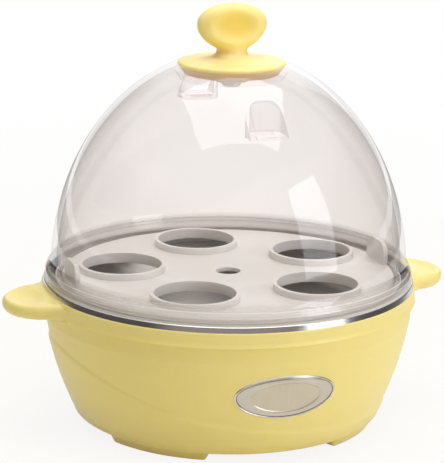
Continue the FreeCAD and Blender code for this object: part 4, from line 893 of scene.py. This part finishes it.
floor_turn = round_turn(FLOOR_COLUMNS)
floor_r = np.array(FLOOR_RINGS)[:, None]
floor_points = np.broadcast_arrays(floor_r * np.cos(floor_turn), floor_r * np.sin(floor_turn), FLOOR_Z)
floor = new_piece("floor", skin_mesh("floor", np.stack(floor_points, -1) / MM))
floor_paint, place = new_finish("floor_paint")
paint = place.node("BsdfPrincipled", {}, {"Base Color": FLOOR_PAINT, "Roughness": 0.9})
white = place.node("Emission", {}, {"Color": (1, 1, 1, 1), "Strength": 1.0})
share = seen(floor_paint.node_tree) * (0.88 + 0.12 * place.length().rise(*FLOOR_FADE))
place.node("OutputMaterial", {}, {"Surface": place.blend(share, paint, white)})
floor.data.materials.append(floor_paint)


def gloss_wall(name, radius, low, high):
    """A round wall that only mirrored rays meet, and the coordinates to build its paint on."""
    heights = np.array([[low], [high]])
    points = np.broadcast_arrays(radius * np.cos(floor_turn), radius * np.sin(floor_turn), heights)
    wall = new_piece(name, skin_mesh(name, np.stack(points, -1) / MM))
    finish, place = new_finish(name + "_paint")
    wall.data.materials.append(finish)
    for ray in ("camera", "diffuse", "transmission", "volume_scatter", "shadow"):
        setattr(wall, "visible_" + ray, False)
    return place


place = gloss_wall("walls", radius=1.8, low=0.06, high=1.5)
facing = place.node("VectorMath", {"operation": "DOT_PRODUCT"}, {0: place, 1: TO_CAMERA}, "Value")
open_white = place.node("Emission", {}, {"Strength": 1.0})
grey_side = place.node("Emission", {}, {"Color": ROOM_TINT, "Strength": ROOM_GREY})
dark_side = place.node("Emission", {}, {"Color": ROOM_TINT, "Strength": ROOM_DARK})
room = place.blend(facing.rise(*ROOM_FRONT), dark_side, grey_side)
in_room = facing.rise(*ROOM_BACK) * place.along("Z").rise(*ROOM_TOP)
place.node("OutputMaterial", {}, {"Surface": place.blend(in_room, open_white, room)})
place = gloss_wall("low_card", radius=0.45, low=0.0, high=0.058)
card = place.node("Emission", {}, {"Color": ROOM_TINT, "Strength": ROOM_DARK})
place.node("OutputMaterial", {}, {"Surface": card})

surround = bpy.data.worlds.new("surround")
bpy.context.scene.world = surround
surround.use_nodes = True
tree = surround.node_tree
tree.nodes.clear()
shown = seen(tree)
fill = shown.node("Background", {}, {"Color": FILL_TINT, "Strength": FILL})
backdrop = shown.node("Background", {}, {"Color": (1, 1, 1, 1), "Strength": 1.0})
shown.node("OutputWorld", {}, {"Surface": shown.blend(shown, fill, backdrop)})


def soft_lamp(name, position, wide, tall, radiance, tint=(1.0, 1.0, 1.0)):
    """A rectangular lamp aimed at the part; its power is radiance times pi times its area."""
    light = bpy.data.lights.new(name, "AREA")
    light.shape = "RECTANGLE"
    light.color = tint
    light.size = wide
    light.size_y = tall
    light.energy = radiance * math.pi * wide * tall
    lamp = bpy.data.objects.new(name, light)
    bpy.context.scene.collection.objects.link(lamp)
    lamp.location = position
    lamp.rotation_euler = (Vector(LAMP_AIM) - Vector(position)).to_track_quat("-Z", "Y").to_euler()


soft_lamp("overhead", (0.05, -0.01, 1.1), wide=1.0, tall=1.0, radiance=2.75)
soft_lamp("right_back", (0.55, 0.85, 0.55), wide=0.6, tall=0.6, radiance=0.6)
soft_lamp("right_front", (0.86, -1.00, 0.45), wide=0.58, tall=1.0, radiance=3.6, tint=(0.98, 0.99, 1.06))


# Camera: at the height and distance that the perspective of the rim and the base asks for, a little to
# the left of the button, with a long lens.
CAMERA_PLACE = (-0.2587762, -0.7569906, 0.2844956)
CAMERA_AHEAD = (0.30979804, 0.91659910, -0.25272756)
CAMERA_ROLL = 0.01510357
CAMERA_LENS = 159.409

ahead = Vector(CAMERA_AHEAD).normalized()
level = ahead.cross(Vector((0, 0, 1))).normalized()
upright = level.cross(ahead)
right = level * math.cos(CAMERA_ROLL) + upright * math.sin(CAMERA_ROLL)
up = upright * math.cos(CAMERA_ROLL) - level * math.sin(CAMERA_ROLL)
lens = bpy.data.cameras.new("camera")
lens.lens = CAMERA_LENS
lens.sensor_width = 36.0
camera = bpy.data.objects.new("camera", lens)
bpy.context.scene.collection.objects.link(camera)
camera.matrix_world = Matrix((right, up, -ahead)).transposed().to_4x4()
camera.location = CAMERA_PLACE
bpy.context.scene.camera = camera
bpy.context.scene.view_settings.view_transform = "Standard"
